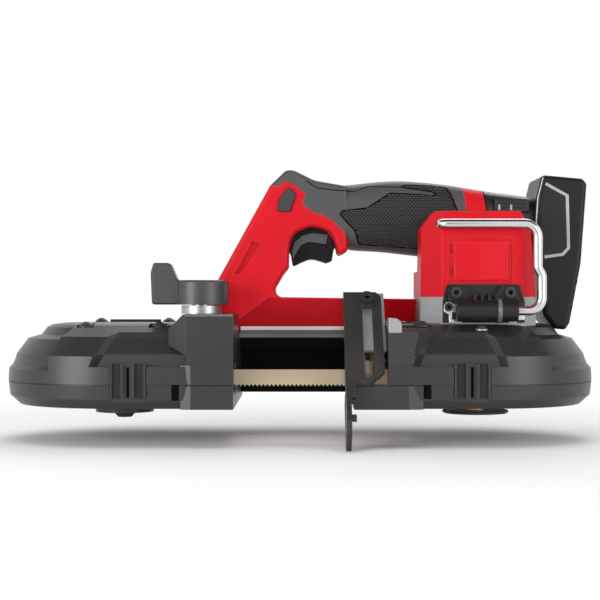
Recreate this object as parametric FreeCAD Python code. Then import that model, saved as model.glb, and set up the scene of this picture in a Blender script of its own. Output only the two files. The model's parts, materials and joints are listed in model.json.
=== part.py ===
import FreeCAD, Part
import math
import os

os.makedirs("parts", exist_ok=True)

# Portable band saw held level: X to the battery end, Y away from the open side, Z up.
# The origin is the middle of the cutting run, on the centre line of the blade.

# Blade and wheels
BLADE_WIDTH = 12.7
BLADE_THICKNESS = 0.5
BLADE_TILT = 45.0
TOOTH_PITCH = 1.8
TOOTH_DEPTH = 0.9
WHEEL_RADIUS = 54.0
TYRE_THICKNESS = 2.0
RIM_THICKNESS = 5.0
RIM_WIDTH = 14.0
BLADE_SEAT_GAP = 0.15
WHEEL_ROOM = 7.0
IDLER_SIDE = 12.56
DRIVE_SIDE = 1.14

# Throat and shoe
THROAT_WIDTH = 64.5
SHOE_THICKNESS = 3.0
SHOE_WIDTH = 22.6
SHOE_TOP = 56.0
SHOE_FOOT = 17.0
SHOE_WEB = 14.6
SHOE_PLANE = 12.0
SHOE_TRAVEL = 26.0

# Wheel guards
GUARD_SKIN = 10.0
GUARD_WALL = 4.0
REAR_WALL = 3.0
GUARD_BOTTOM = -17.5
GUARD_PARTING = -3.2
GUARD_SHOULDER = 13.0
GUARD_BEVEL_TOP = 24.0
GUARD_TOP = 31.5
END_SECTOR = 116.0
RECESS_DEPTH = 5.4
RECESS_LOW = 7.0
GROOVE = 0.8

# Frame deck
DECK_BOTTOM = 18.0
DECK_TOP = 24.4
BEAM_WIDTH = 20.0

# Handle
HANDLE_HALF = 18.5
HANDLE_GAP = 1.0
BAR_TOP = 47.4
SHELL_WALL = 4.5
RUBBER = 2.0
SIDE_ROUND = 3.0
BATTERY_SLOPE = 5.7

# Motor block and gear case
BLOCK_NOSE = 36.4
BLOCK_TAIL = 32.8
CASE_TOP = 47.3
COVER_TOP = 98.5
SADDLE_TOP = 63.0
COVER_WALL = 3.0
STATOR_R = 16.0

# Gear train: motor pinion, compound gear, output gear
MODULE_FAST = 0.6
MODULE_SLOW = 0.9
TEETH_MOTOR = 12
TEETH_FAST = 42
TEETH_SLOW = 12
TEETH_OUTPUT = 44
SLOW_ANGLE = math.radians(220.5)
FAST_ANGLE = math.radians(-11.4)

# Hook
HOOK_REACH = 9.1
HOOK_DROP = 8.1
HOOK_WIRE = 2.35

# Battery
BATTERY_HALF = 25.5
STEM_LENGTH = 55.0

# Tension lever
LEVER_IN = 21.35
LEVER_OUT = 22.4
LEVER_THROW = 3.0

# Clearances
RUN = 0.03
SLIDE = 0.1
FREE = 0.35
LOOSE = 0.7

# Values that follow from the sizes above
LOOP_RADIUS = WHEEL_RADIUS + BLADE_SEAT_GAP + BLADE_THICKNESS / 2
LOOP_Y = LOOP_RADIUS
HALF_THROAT = THROAT_WIDTH / 2
REAR_LEFT = HALF_THROAT + SHOE_WIDTH + 2.2
REAR_SKIRT = HALF_THROAT + 5.0
IDLER_X = -HALF_THROAT - GUARD_WALL - IDLER_SIDE - WHEEL_RADIUS
DRIVE_X = REAR_LEFT + REAR_WALL + DRIVE_SIDE + WHEEL_RADIUS
ROOM_RADIUS = WHEEL_RADIUS + WHEEL_ROOM
GUARD_RADIUS = ROOM_RADIUS + GUARD_SKIN
GUARD_FRONT = LOOP_Y - GUARD_RADIUS
LEVER_X = -HALF_THROAT - LEVER_IN
LEVER_Y = LOOP_Y - LEVER_OUT
TOWER_LEFT = -HALF_THROAT - 29.0
TOWER_TOP = GUARD_TOP + 5.7
TOWER_BACK = LEVER_Y + 17.0
GUIDE_FRONT = -HALF_THROAT - 12.0
GUIDE_REAR = HALF_THROAT + 13.0
TRAVEL_TENSION = 2 * LEVER_THROW
slow_distance = MODULE_SLOW * (TEETH_SLOW + TEETH_OUTPUT) / 2
fast_distance = MODULE_FAST * (TEETH_MOTOR + TEETH_FAST) / 2
PIN_X = DRIVE_X + slow_distance * math.cos(SLOW_ANGLE)
PIN_Y = LOOP_Y + slow_distance * math.sin(SLOW_ANGLE)
MOTOR_X = PIN_X + fast_distance * math.cos(FAST_ANGLE)
MOTOR_Y = PIN_Y + fast_distance * math.sin(FAST_ANGLE)
BLOCK_LEFT = DRIVE_X - BLOCK_NOSE
BLOCK_RIGHT = DRIVE_X + BLOCK_TAIL
BLOCK_FRONT = MOTOR_Y - STATOR_R - COVER_WALL - LOOSE
COVER_BACK = MOTOR_Y + STATOR_R + COVER_WALL + LOOSE
HANDLE_Y = COVER_BACK + HANDLE_GAP + HANDLE_HALF
BLOCK_BACK = HANDLE_Y + 14.0
RING_END = BLOCK_LEFT + 43.1
PACK_X = RING_END + 32.6
BEAM_BACK = LOOP_Y + LOOP_RADIUS - 8.8
BEAM_FRONT = BEAM_BACK - BEAM_WIDTH
SLANT = COVER_BACK + HANDLE_GAP + BAR_TOP
HOOK_Y = BLOCK_FRONT - HOOK_REACH
HOOK_Z = CASE_TOP - HOOK_DROP
HOOK_LEFT = BLOCK_LEFT + 10.6
HOOK_RIGHT = BLOCK_RIGHT - 0.5
HOOK_TOP = COVER_TOP - 8.0


def vec(x, y, z):
    return FreeCAD.Vector(x, y, z)


ORIGIN = vec(0, 0, 0)
AXIS_X = vec(1, 0, 0)
AXIS_Y = vec(0, 1, 0)
AXIS_Z = vec(0, 0, 1)


def box(x0, x1, y0, y1, z0, z1):
    return Part.makeBox(x1 - x0, y1 - y0, z1 - z0, vec(x0, y0, z0))


def rod(radius, start, end):
    axis = end.sub(start)
    return Part.makeCylinder(radius, axis.Length, start, axis)


def post(x, y, radius, z0, z1):
    return Part.makeCylinder(radius, z1 - z0, vec(x, y, z0), AXIS_Z)


def ring(x, y, outer, inner, z0, z1):
    return post(x, y, outer, z0, z1).cut(post(x, y, inner, z0 - 1, z1 + 1))


def face_of(points):
    return Part.Face(Part.makePolygon(points + [points[0]]))


def prism_xy(points, z0, z1):
    return face_of([vec(x, y, z0) for x, y in points]).extrude(vec(0, 0, z1 - z0))


def prism_xz(points, y0, y1):
    return face_of([vec(x, y0, z) for x, z in points]).extrude(vec(0, y1 - y0, 0))


def prism_yz(points, x0, x1):
    return face_of([vec(x0, y, z) for y, z in points]).extrude(vec(x1 - x0, 0, 0))


def turned(profile, x, y, start, sweep):
    """Profile of radius and height pairs, turned about the vertical through x, y."""
    face = face_of([vec(r, 0, z) for r, z in profile])
    solid = face.revolve(ORIGIN, AXIS_Z, sweep)
    solid.rotate(ORIGIN, AXIS_Z, start)
    solid.translate(vec(x, y, 0))
    return solid


def tilted(shape):
    """Turn a piece drawn in the plane of the level blade into the tilt of the cutting run."""
    shape.rotate(ORIGIN, AXIS_X, BLADE_TILT)
    return shape


def rounded_wire(corners, y):
    """Closed outline in a plane of constant y from x, z, radius corners."""
    count = len(corners)
    ends = []
    for i in range(count):
        x, z, radius = corners[i]
        here = vec(x, y, z)
        if radius <= 0:
            ends.append((here, here, here))
            continue
        before = vec(corners[i - 1][0], y, corners[i - 1][1]).sub(here)
        after = vec(corners[(i + 1) % count][0], y, corners[(i + 1) % count][1]).sub(here)
        half = before.getAngle(after) / 2
        reach = min(radius / math.tan(half), 0.48 * before.Length, 0.48 * after.Length)
        before.normalize()
        after.normalize()
        middle = before.add(after)
        middle.normalize()
        bend = reach * math.tan(half)
        depth = bend / math.sin(half) - bend
        ends.append((here + before * reach, here + middle * depth, here + after * reach))
    edges = []
    for i in range(count):
        start, middle, end = ends[i]
        if start.distanceToPoint(end) > 1e-6:
            edges.append(Part.Arc(start, middle, end).toShape())
        following = ends[(i + 1) % count][0]
        if end.distanceToPoint(following) > 1e-6:
            edges.append(Part.LineSegment(end, following).toShape())
    return Part.Wire(edges)


def rounded_slab(corners, y0, y1):
    return Part.Face(rounded_wire(corners, y0)).extrude(vec(0, y1 - y0, 0))


def edges_at_y(shape, y):
    found = []
    for edge in shape.Edges:
        bounds = edge.BoundBox
        if abs(bounds.YMin - y) < 1e-4 and abs(bounds.YMax - y) < 1e-4:
            found.append(edge)
    return found


def joined(shapes):
    first = shapes[0]
    return first.fuse(shapes[1:]).removeSplitter() if len(shapes) > 1 else first


def coil(start, axis, radius, wire, length, turns):
    """Wire wound about an axis, as one tube with six flats."""
    per_turn = 12
    flats = 6
    rows = []
    for i in range(turns * per_turn + 1):
        angle = 2 * math.pi * i / per_turn
        outward = vec(math.cos(angle), math.sin(angle), 0)
        centre = outward * radius + AXIS_Z * (length * i / (turns * per_turn))
        row = []
        for j in range(flats):
            lean = 2 * math.pi * j / flats
            row.append(centre + outward * (wire * math.cos(lean)) + AXIS_Z * (wire * math.sin(lean)))
        rows.append(row)
    faces = [face_of(rows[0]), face_of(rows[-1])]
    for first, second in zip(rows, rows[1:]):
        for j in range(flats):
            k = (j + 1) % flats
            faces.append(face_of([first[j], first[k], second[k]]))
            faces.append(face_of([first[j], second[k], second[j]]))
    skin = Part.makeShell(faces)
    skin.sewShape()
    tube = Part.makeSolid(skin)
    if tube.Volume < 0:
        tube.reverse()
    tube.Placement = FreeCAD.Placement(start, FreeCAD.Rotation(AXIS_Z, axis))
    return tube


def keep(name, shape):
    solids = shape.Solids
    whole = solids[0] if len(solids) == 1 else Part.makeCompound(solids)
    whole.exportStep("parts/" + name + ".step")


# Wheel guards: turned ends and straight sides share one profile
LOBE_RADIUS = GUARD_RADIUS - 25.0
bevel = GUARD_BEVEL_TOP - GUARD_SHOULDER
outside_profile = [
    (0, GUARD_BOTTOM),
    (GUARD_RADIUS - 7, GUARD_BOTTOM),
    (GUARD_RADIUS - 1, GUARD_BOTTOM + 5.5),
    (GUARD_RADIUS, GUARD_PARTING),
    (GUARD_RADIUS - 0.8, GUARD_SHOULDER),
    (GUARD_RADIUS - 0.8 - bevel, GUARD_BEVEL_TOP),
    (GUARD_RADIUS - 26, GUARD_TOP - 1.0),
    (GUARD_RADIUS - 34, GUARD_TOP),
    (0, GUARD_TOP),
]
room_profile = [
    (0, GUARD_BOTTOM - 1),
    (ROOM_RADIUS, GUARD_BOTTOM - 1),
    (ROOM_RADIUS, GUARD_PARTING - 4),
    (ROOM_RADIUS + 4, GUARD_PARTING - 1),
    (ROOM_RADIUS + 4, GUARD_PARTING + 2),
    (ROOM_RADIUS, GUARD_PARTING + 6),
    (ROOM_RADIUS, GUARD_SHOULDER - 1),
    (LOBE_RADIUS + 4, DECK_BOTTOM + 1.5),
    (LOBE_RADIUS + 0.8, DECK_TOP),
    (0, DECK_TOP),
]


def guard_form(centre, edge, profile):
    """Half-turned end round a wheel with straight sides running to the throat edge."""
    outward = -1 if centre < edge else 1
    end = turned(profile, centre, LOOP_Y, 90 if outward < 0 else -90, 180)
    near = [(LOOP_Y - r, z) for r, z in profile]
    far = [(LOOP_Y + r, z) for r, z in profile]
    outline = near[1:-1] + list(reversed(far[1:-1]))
    straight = prism_yz(outline, min(centre, edge), max(centre, edge))
    return joined([end, straight])


def parting_groove(centre, edge):
    """Waste of the shadow line where a lower cover meets its guard."""
    low = GUARD_PARTING - GROOVE
    outer = GUARD_RADIUS + 4
    inner = GUARD_RADIUS - 1.2
    high = GUARD_PARTING
    whole = guard_form(centre, edge, [(0, low), (outer, low), (outer, high), (0, high)])
    kept = guard_form(centre, edge, [(0, low - 1), (inner, low - 1), (inner, high + 1), (0, high + 1)])
    return whole.cut(kept)


def end_steps(centre, outward):
    """Waste outside the stepped ridges that wrap the end of a guard."""
    r = GUARD_RADIUS
    s = GUARD_SHOULDER
    rows = [(r + 8, 4.0), (r - 0.2, 4.0), (r - 2.6, s - 6.5), (r - 4.2, s - 3), (r - 5.0, s)]
    rows += [(r - 12, GUARD_BEVEL_TOP - 1.7), (r - 20, GUARD_BEVEL_TOP + 0.5)]
    rows += [(r - 23.5, GUARD_TOP - 2.5), (r - 29, GUARD_TOP + 0.2), (r + 8, GUARD_TOP + 0.2)]
    middle = 0 if outward > 0 else 180
    return turned(rows, centre, LOOP_Y, middle - END_SECTOR / 2, END_SECTOR)


def slot_for_blade(x0, x1):
    half = BLADE_WIDTH / 2 + 2.5
    return box(x0, x1, -half, half, -half, half)


def slot_for_return(x0, x1):
    far = LOOP_Y + LOOP_RADIUS
    half = BLADE_WIDTH / 2 + 2.5
    return box(x0, x1, far - 5, far + 5, -half, half)


CLIP_SHIFT = 10.0
CLIP_HALF = 10.6
CLIP_TOP = 9.3
CLIP_DEPTH = 2.6


def clip_recess(x):
    back = GUARD_FRONT + CLIP_DEPTH
    return box(x - CLIP_HALF, x + CLIP_HALF, GUARD_FRONT - 5, back, GUARD_BOTTOM - 1, CLIP_TOP)


def front_step(x0, x1, depth, z0, z1):
    """Waste in front of a part of the near wall that lies back by a depth."""
    return box(x0, x1, GUARD_FRONT - 5, GUARD_FRONT + depth, z0, z1)


def recess_waste(stations):
    """Waste in front of the sunken panel over a clip, from sections of x, depth and lean."""
    wires = []
    for x, depth, lean in stations:
        wall = GUARD_FRONT + depth
        crest = wall + 0.8 + 0.85 * bevel
        rows = [
            (GUARD_FRONT - 6, RECESS_LOW),
            (wall, RECESS_LOW),
            (wall + 0.8, GUARD_SHOULDER + 1),
            (crest, GUARD_BEVEL_TOP - 0.5),
            (crest + 2.5, GUARD_BEVEL_TOP + 3.5),
            (crest + 2.5, GUARD_TOP + 6),
            (GUARD_FRONT - 6, GUARD_TOP + 6),
        ]
        points = [vec(x + lean * (z - GUARD_SHOULDER), y, z) for y, z in rows]
        wires.append(Part.makePolygon(points + [points[0]]))
    return Part.makeLoft(wires, True, True)


def guard_clip(x):
    """Snap clip bridging the parting line: a plate with two side ribs and a slotted channel."""
    front = GUARD_FRONT + CLIP_DEPTH - 1.4
    back = GUARD_FRONT + CLIP_DEPTH
    low = GUARD_BOTTOM + 6.5
    high = CLIP_TOP - 0.3
    plate = box(x - CLIP_HALF + 0.3, x + CLIP_HALF - 0.3, front, back, low, high)
    ribs = []
    for side in (-1, 1):
        at = x + side * (CLIP_HALF - 0.9)
        ribs.append(box(at - 0.6, at + 0.6, front - 1.6, back, low, high))
        at = x + side * 3.2
        ribs.append(box(at - 0.7, at + 0.7, front - 2.2, back, low, high))
    whole = joined([plate] + ribs)
    return whole.cut(box(x - 0.9, x + 0.9, front - 1, back - 0.4, low - 1, high - 2))


FRONT_CLIP_X = IDLER_X + CLIP_SHIFT
REAR_CLIP_X = DRIVE_X - CLIP_SHIFT

# Front guard with the guide tower and the seat of the tension lever
front_panel = recess_waste([
    (FRONT_CLIP_X - 21.8, -0.4, 0.6),
    (FRONT_CLIP_X - 14.8, RECESS_DEPTH, 0.6),
    (TOWER_LEFT + 2, RECESS_DEPTH, 0),
])
front_form = guard_form(IDLER_X, -HALF_THROAT, outside_profile)
front_form = front_form.cut([end_steps(IDLER_X, -1), front_panel])
front_room = guard_form(IDLER_X, -HALF_THROAT - GUARD_WALL, room_profile)
tower_outline = [
    (-HALF_THROAT, 0),
    (-HALF_THROAT, TOWER_TOP),
    (TOWER_LEFT, TOWER_TOP),
    (TOWER_LEFT - 9, GUARD_TOP - 3),
    (TOWER_LEFT - 9, GUARD_BEVEL_TOP - 5),
    (TOWER_LEFT + 4, GUARD_SHOULDER - 0.5),
    (TOWER_LEFT + 4, 0),
]
tower_plan = [
    (-HALF_THROAT, GUARD_FRONT + 0.6),
    (TOWER_LEFT + 1.5, GUARD_FRONT + 0.6),
    (TOWER_LEFT - 9.5, GUARD_FRONT + 10),
    (TOWER_LEFT - 9.5, TOWER_BACK),
    (-HALF_THROAT, TOWER_BACK),
]
tower = prism_xz(tower_outline, GUARD_FRONT + 0.6, TOWER_BACK)
tower = tower.common(prism_xy(tower_plan, -5, TOWER_TOP + 5))
tower_slope = [
    (GUARD_FRONT - 1, TOWER_TOP - 2),
    (GUARD_FRONT + 5, TOWER_TOP + 1),
    (GUARD_FRONT - 1, TOWER_TOP + 1),
]
tower = tower.cut(prism_yz(tower_slope, TOWER_LEFT - 20, 0))
tower_foot_plan = [
    (-HALF_THROAT, GUARD_FRONT - 0.6),
    (TOWER_LEFT + 4.5, GUARD_FRONT - 0.6),
    (TOWER_LEFT - 1.5, GUARD_FRONT + 1.6),
    (TOWER_LEFT - 1.5, GUARD_FRONT + 6),
    (-HALF_THROAT, GUARD_FRONT + 6),
]
tower_foot = prism_xy(tower_foot_plan, GUARD_BOTTOM, RECESS_LOW + 1)
leg_near = HANDLE_Y - HANDLE_HALF - 1
leg_far = HANDLE_Y + HANDLE_HALF + 1
leg_seat = box(-HALF_THROAT - 4.4, 0, leg_near, leg_far, DECK_TOP, GUARD_TOP + 9)
wall_edge = -HALF_THROAT - GUARD_WALL
guide_near = GUARD_FRONT + GUARD_WALL
guide_room = box(GUIDE_FRONT - 12.5, wall_edge, guide_near, LOOP_Y - 20, GUARD_BOTTOM - 1, DECK_TOP)
front_body = joined([front_form, tower, tower_foot]).cut([front_room, guide_room])
clip_edge = FRONT_CLIP_X + CLIP_HALF
shallow_step = front_step(clip_edge, TOWER_LEFT - 2, 1.2, GUARD_BOTTOM + 3.5, GUARD_PARTING)
deep_step = front_step(TOWER_LEFT - 6.6, TOWER_LEFT - 2, 3.0, GUARD_BOTTOM + 5, GUARD_PARTING)
front_body = front_body.cut([shallow_step, deep_step])
front_body = front_body.cut([slot_for_blade(-HALF_THROAT - 10, 0), slot_for_return(-HALF_THROAT - 10, 0)])
front_body = front_body.cut([clip_recess(FRONT_CLIP_X), leg_seat])
beam_room = box(-HALF_THROAT - 8, 0, BEAM_FRONT - FREE, BEAM_BACK + FREE, DECK_BOTTOM - FREE, DECK_TOP)
front_body = front_body.cut(beam_room)
front_body = front_body.cut(post(LEVER_X, LEVER_Y, 6 + FREE, 0, 60))
above = box(-400, 400, -200, 300, GUARD_PARTING, 200)
below = box(-400, 400, -200, 300, -200, GUARD_PARTING)

SCREW_SHIFT = 3.2
SCREW_REACH = 21.7
NEAR_REACH = 37.0
FAR_REACH = 30.0
SIDE_REACH = 43.4
front_screws = []
for side in (-1, 1):
    screw_x = IDLER_X + SCREW_SHIFT + side * SCREW_REACH
    front_screws.append((screw_x, LOOP_Y - NEAR_REACH, GUARD_TOP - 2.4))
    front_screws.append((screw_x, LOOP_Y + FAR_REACH, GUARD_TOP - 1.0))
rear_screws = []
for side in (-1, 1):
    rear_screws.append((BLOCK_LEFT - 0.2, LOOP_Y + side * SIDE_REACH, GUARD_TOP - 2.0))
HEAD_R = 4.9
HEAD_RISE = 3.4
STEM_R = 2.0


def screw_seats(spots):
    """Holes for the stems and seats for the heads, open to the slope of the guard."""
    seats = []
    reach = HEAD_R + FREE
    for x, y, z in spots:
        outer = y + math.copysign(14, y - LOOP_Y)
        seats.append(post(x, y, STEM_R, DECK_TOP - 4, 60))
        seats.append(post(x, y, reach, z, 60))
        seats.append(box(x - reach, x + reach, min(y, outer), max(y, outer), z, 60))
    return seats


def screw_down(x, y, z):
    """Domed screw on a washer face."""
    washer = post(x, y, HEAD_R, z, z + 1.0)
    rim = HEAD_R - 0.5
    rise = HEAD_RISE - 1.0
    ball = (rim * rim + rise * rise) / (2 * rise)
    cap = Part.makeSphere(ball, vec(x, y, z + HEAD_RISE - ball))
    cap = cap.common(post(x, y, HEAD_R, z + 1.0, z + HEAD_RISE + 1))
    return joined([washer, cap, post(x, y, STEM_R, DECK_TOP - 4, z)])


screw_list = [screw_down(x, y, z) for x, y, z in front_screws + rear_screws]
front_body = front_body.cut(screw_seats(front_screws))
keep("front_wheel_guard", front_body.common(above))
keep("front_lower_cover", front_body.common(below).cut(parting_groove(IDLER_X, -HALF_THROAT)))

# Rear guard, open above for the gear case
case_plan = [
    (BLOCK_LEFT, BLOCK_FRONT + 12),
    (BLOCK_LEFT + 11.9, BLOCK_FRONT),
    (BLOCK_RIGHT - 9, BLOCK_FRONT),
    (BLOCK_RIGHT, BLOCK_FRONT + 9),
    (BLOCK_RIGHT, BLOCK_BACK - 8),
    (BLOCK_RIGHT - 8, BLOCK_BACK),
    (BLOCK_LEFT + 8, BLOCK_BACK),
    (BLOCK_LEFT, BLOCK_BACK - 8),
]


def plan_prism(plan, grow, z0, z1):
    wire = Part.makePolygon([vec(x, y, z0) for x, y in plan + [plan[0]]])
    if grow:
        wire = wire.makeOffset2D(grow, 2)
    return Part.Face(wire).extrude(vec(0, 0, z1 - z0))


rear_panel = recess_waste([
    (REAR_CLIP_X - 33, -0.4, 0.4),
    (REAR_CLIP_X - 27.3, RECESS_DEPTH, 0.4),
    (REAR_CLIP_X + 14.6, RECESS_DEPTH, -0.4),
    (REAR_CLIP_X + 20.6, -0.4, -0.4),
])
corner_profile = [
    (GUARD_FRONT - 0.3, GUARD_PARTING),
    (GUARD_FRONT - 0.3, RECESS_LOW + 2),
    (GUARD_FRONT + 4, GUARD_BEVEL_TOP + 2.6),
    (GUARD_FRONT + 12, GUARD_TOP - 2.5),
    (GUARD_FRONT + 20, GUARD_TOP - 2.5),
    (GUARD_FRONT + 20, GUARD_PARTING),
]
corner_plan = [
    (REAR_LEFT, GUARD_FRONT - 2),
    (REAR_LEFT + 12, GUARD_FRONT - 2),
    (REAR_LEFT + 24, GUARD_FRONT + 12),
    (REAR_LEFT + 24, GUARD_FRONT + 20),
    (REAR_LEFT, GUARD_FRONT + 20),
]
rear_corner = prism_yz(corner_profile, REAR_LEFT, REAR_LEFT + 24)
rear_corner = rear_corner.common(prism_xy(corner_plan, GUARD_PARTING - 5, GUARD_TOP))
skirt_plan = [
    (REAR_SKIRT, GUARD_FRONT - 0.6),
    (REAR_LEFT + 11.5, GUARD_FRONT - 0.6),
    (REAR_LEFT + 20, GUARD_FRONT + 1.5),
    (REAR_LEFT + 20, GUARD_FRONT + 6),
    (REAR_SKIRT, GUARD_FRONT + 6),
]
skirt_block = prism_xy(skirt_plan, GUARD_BOTTOM, GUARD_PARTING)
rear_form = guard_form(DRIVE_X, REAR_LEFT, outside_profile)
rear_form = rear_form.cut([end_steps(DRIVE_X, 1), rear_panel])
rear_skirt = guard_form(DRIVE_X, REAR_SKIRT, outside_profile).common(below)
rear_skirt = rear_skirt.cut(box(0, REAR_LEFT, LOOP_Y - 40, 300, -100, 100))
rear_room = guard_form(DRIVE_X, REAR_LEFT + REAR_WALL, room_profile)
rear_body = joined([rear_form, rear_skirt, rear_corner, skirt_block]).cut(rear_room)
clip_edge = REAR_CLIP_X - CLIP_HALF
shallow_step = front_step(REAR_LEFT + 20, clip_edge, 1.2, GUARD_BOTTOM + 3.5, GUARD_PARTING)
deep_step = front_step(REAR_LEFT + 20, REAR_LEFT + 24.8, 3.0, GUARD_BOTTOM + 6, GUARD_PARTING)
rear_body = rear_body.cut([shallow_step, deep_step])
rear_body = rear_body.cut(plan_prism(case_plan, FREE, DECK_TOP - 1, 100))
rear_body = rear_body.cut([slot_for_blade(0, REAR_LEFT + 10), slot_for_return(0, REAR_LEFT + 10)])
rear_body = rear_body.cut(box(0, REAR_LEFT + 8, 7.0, BEAM_BACK + FREE, DECK_BOTTOM - FREE, DECK_TOP))
rear_body = rear_body.cut(clip_recess(REAR_CLIP_X))
rear_tray = box(REAR_SKIRT + 3, REAR_LEFT + 10, GUARD_FRONT + 4, LOOP_Y - 43, GUARD_BOTTOM + 3, 2)
rear_body = rear_body.cut(rear_tray)
rear_body = rear_body.cut(screw_seats(rear_screws))
dome_x = DRIVE_X - 2.0
dome_y = LOOP_Y - GUARD_RADIUS + 21.0
dome_z = GUARD_TOP - 4.2
DOME_R = 4.0
dome_hole = [post(dome_x, dome_y, DOME_R, dome_z, 60), post(dome_x, dome_y, STEM_R, dome_z - 5, 60)]
rear_body = rear_body.cut(dome_hole)
dome = Part.makeSphere(5.4, vec(dome_x, dome_y, dome_z - 2.4))
dome = dome.common(post(dome_x, dome_y, DOME_R - FREE, dome_z, 60))
screw_list.append(joined([dome, post(dome_x, dome_y, STEM_R, dome_z - 5, dome_z)]))
keep("rear_wheel_guard", rear_body.common(above))
keep("rear_lower_cover", rear_body.common(below).cut(parting_groove(DRIVE_X, REAR_SKIRT)))
keep("guard_clips", Part.makeCompound([guard_clip(FRONT_CLIP_X), guard_clip(REAR_CLIP_X)]))

# Return guard behind the throat: a channel over the far run with a shelf under the deck
far_run = LOOP_Y + LOOP_RADIUS
far_wall = LOOP_Y + GUARD_RADIUS - 0.8
return_outline = [
    (BEAM_FRONT - 2.5, DECK_BOTTOM - 3),
    (far_run - 13, DECK_BOTTOM - 3),
    (far_run - 13, GUARD_BOTTOM + 6),
    (far_run - 9, GUARD_BOTTOM + 3),
    (far_wall - 4, GUARD_BOTTOM + 3),
    (far_wall, GUARD_BOTTOM + 8),
    (far_wall, GUARD_SHOULDER),
    (far_wall - 4.6, DECK_BOTTOM - SLIDE),
    (BEAM_FRONT - SLIDE, DECK_BOTTOM - SLIDE),
    (BEAM_FRONT - SLIDE, DECK_BOTTOM + 3.5),
    (BEAM_FRONT - 2.5, DECK_BOTTOM + 3.5),
]
return_guard = prism_yz(return_outline, -HALF_THROAT + SLIDE, REAR_LEFT - SLIDE)
return_guard = return_guard.cut(box(-200, 200, far_run - 9, far_wall - 4, -100, DECK_BOTTOM - 4))
keep("return_guard", return_guard)

# Main frame: deck lobes over the wheels, beam behind the throat, inclined bosses for the guides

def lobe(centre, edge):
    half = post(centre, LOOP_Y, LOBE_RADIUS, DECK_BOTTOM, DECK_TOP)
    low = min(centre, edge)
    high = max(centre, edge)
    return joined([half, box(low, high, LOOP_Y - LOBE_RADIUS, LOOP_Y + LOBE_RADIUS, DECK_BOTTOM, DECK_TOP)])


GUIDE_SEAT = 24.0
BACK_SHIFT = 7.2
GUIDE_HALF = 8.6


def guide_boss(x0, x1, lip, top_points):
    """Casting with a seat square to the back of the tilted blade."""
    s = math.sqrt(0.5)
    rear = ((GUIDE_SEAT + SHOE_PLANE) * s, (GUIDE_SEAT - SHOE_PLANE) * s)
    body = prism_yz(top_points + [(top_points[-1][0], rear[1]), rear], x0, x1)
    if lip > 0:
        apron = tilted(box(x0, x1, GUIDE_SEAT - lip, GUIDE_SEAT + 1, SHOE_PLANE - 2, SHOE_PLANE))
        body = joined([body, apron])
    return body


PAD_TOP = SHOE_TOP + 2.0
pad_high = ((PAD_TOP - SHOE_PLANE) * math.sqrt(0.5), (PAD_TOP + SHOE_PLANE) * math.sqrt(0.5))
pad_low = ((GUIDE_SEAT - SHOE_PLANE) * math.sqrt(0.5), (GUIDE_SEAT + SHOE_PLANE) * math.sqrt(0.5))
rear_boss_top = [pad_low, pad_high, (pad_high[0] + 7, pad_high[1]), (pad_high[0] + 13, DECK_TOP)]
FRONT_BOSS_BACK = GUIDE_SEAT * 1.12
front_boss_top = [(GUIDE_SEAT * math.sqrt(2) - DECK_TOP, DECK_TOP), (FRONT_BOSS_BACK, DECK_TOP)]
rear_boss = guide_boss(HALF_THROAT + 5.2, REAR_LEFT - FREE, 13, rear_boss_top)
front_boss = guide_boss(GUIDE_FRONT - 11, -HALF_THROAT - GUARD_WALL - FREE, 0, front_boss_top)
frame_left = -HALF_THROAT - GUARD_WALL - FREE
spring_lug_x = LEVER_X + 1.0
spring_lug = box(spring_lug_x, spring_lug_x + 3, LOOP_Y - 4, LOOP_Y + 4, DECK_BOTTOM - 5.5, DECK_BOTTOM + 1)
beam = box(IDLER_X, DRIVE_X, BEAM_FRONT, BEAM_BACK, DECK_BOTTOM, DECK_TOP)
rear_deck = box(HALF_THROAT + 12, DRIVE_X, 8.5, LOOP_Y, DECK_BOTTOM, DECK_TOP)
lobes = [lobe(IDLER_X, frame_left), lobe(DRIVE_X, REAR_LEFT + GUARD_WALL + 2)]
frame = joined(lobes + [beam, rear_boss, front_boss, spring_lug, rear_deck])
for seat_x, towards in ((GUIDE_FRONT, -1), (GUIDE_REAR, 1)):
    ends = (seat_x - towards * 5.6, seat_x + towards * (BACK_SHIFT + 4.6))
    frame = frame.cut(tilted(box(min(ends), max(ends), 0, GUIDE_SEAT, -GUIDE_HALF - 1, GUIDE_HALF + 1)))
SHAFT_R = 6.0
LOWER_BEARING_R = 13.0
frame = frame.cut(post(DRIVE_X, LOOP_Y, LOWER_BEARING_R, 0, 60))
frame = frame.cut(post(LEVER_X, LEVER_Y, 6 + RUN, 0, 60))
frame = frame.cut([post(x, y, STEM_R, DECK_TOP - 4, 60) for x, y, z in front_screws + rear_screws])

# Shoulder bolts that carry the tension slide
BOLT_X = IDLER_X + 26.0
BOLT_REACH = 16.0
SLIDE_TOP = DECK_BOTTOM - SLIDE
SLIDE_BOTTOM = SLIDE_TOP - 5.8
for side in (-1, 1):
    at_y = LOOP_Y + side * BOLT_REACH
    stem = post(BOLT_X, at_y, 3.0, SLIDE_BOTTOM - SLIDE, DECK_TOP - 1.5)
    head = post(BOLT_X, at_y, 5.0, SLIDE_BOTTOM - SLIDE - 2.2, SLIDE_BOTTOM - SLIDE)
    frame = frame.cut(post(BOLT_X, at_y, 3.0, 0, DECK_TOP - 1.5))
    screw_list.append(joined([stem, head]))

# Seat of the compound gear's pin
PIN_R = 2.5
frame = frame.cut(post(PIN_X, PIN_Y, PIN_R, DECK_TOP - 4, 60))

# Shoe screw seat in the inclined pad
SCREW_ALONG = SHOE_TOP - 8.0
SLOT_X = HALF_THROAT + 14.0


def shoe_screw_part(radius, low, high):
    return rod(radius, vec(SLOT_X, SCREW_ALONG, low), vec(SLOT_X, SCREW_ALONG, high))


frame = frame.cut(tilted(shoe_screw_part(2.55, SHOE_PLANE - 11, SHOE_PLANE + 30)))
keep("main_frame", frame)

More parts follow.
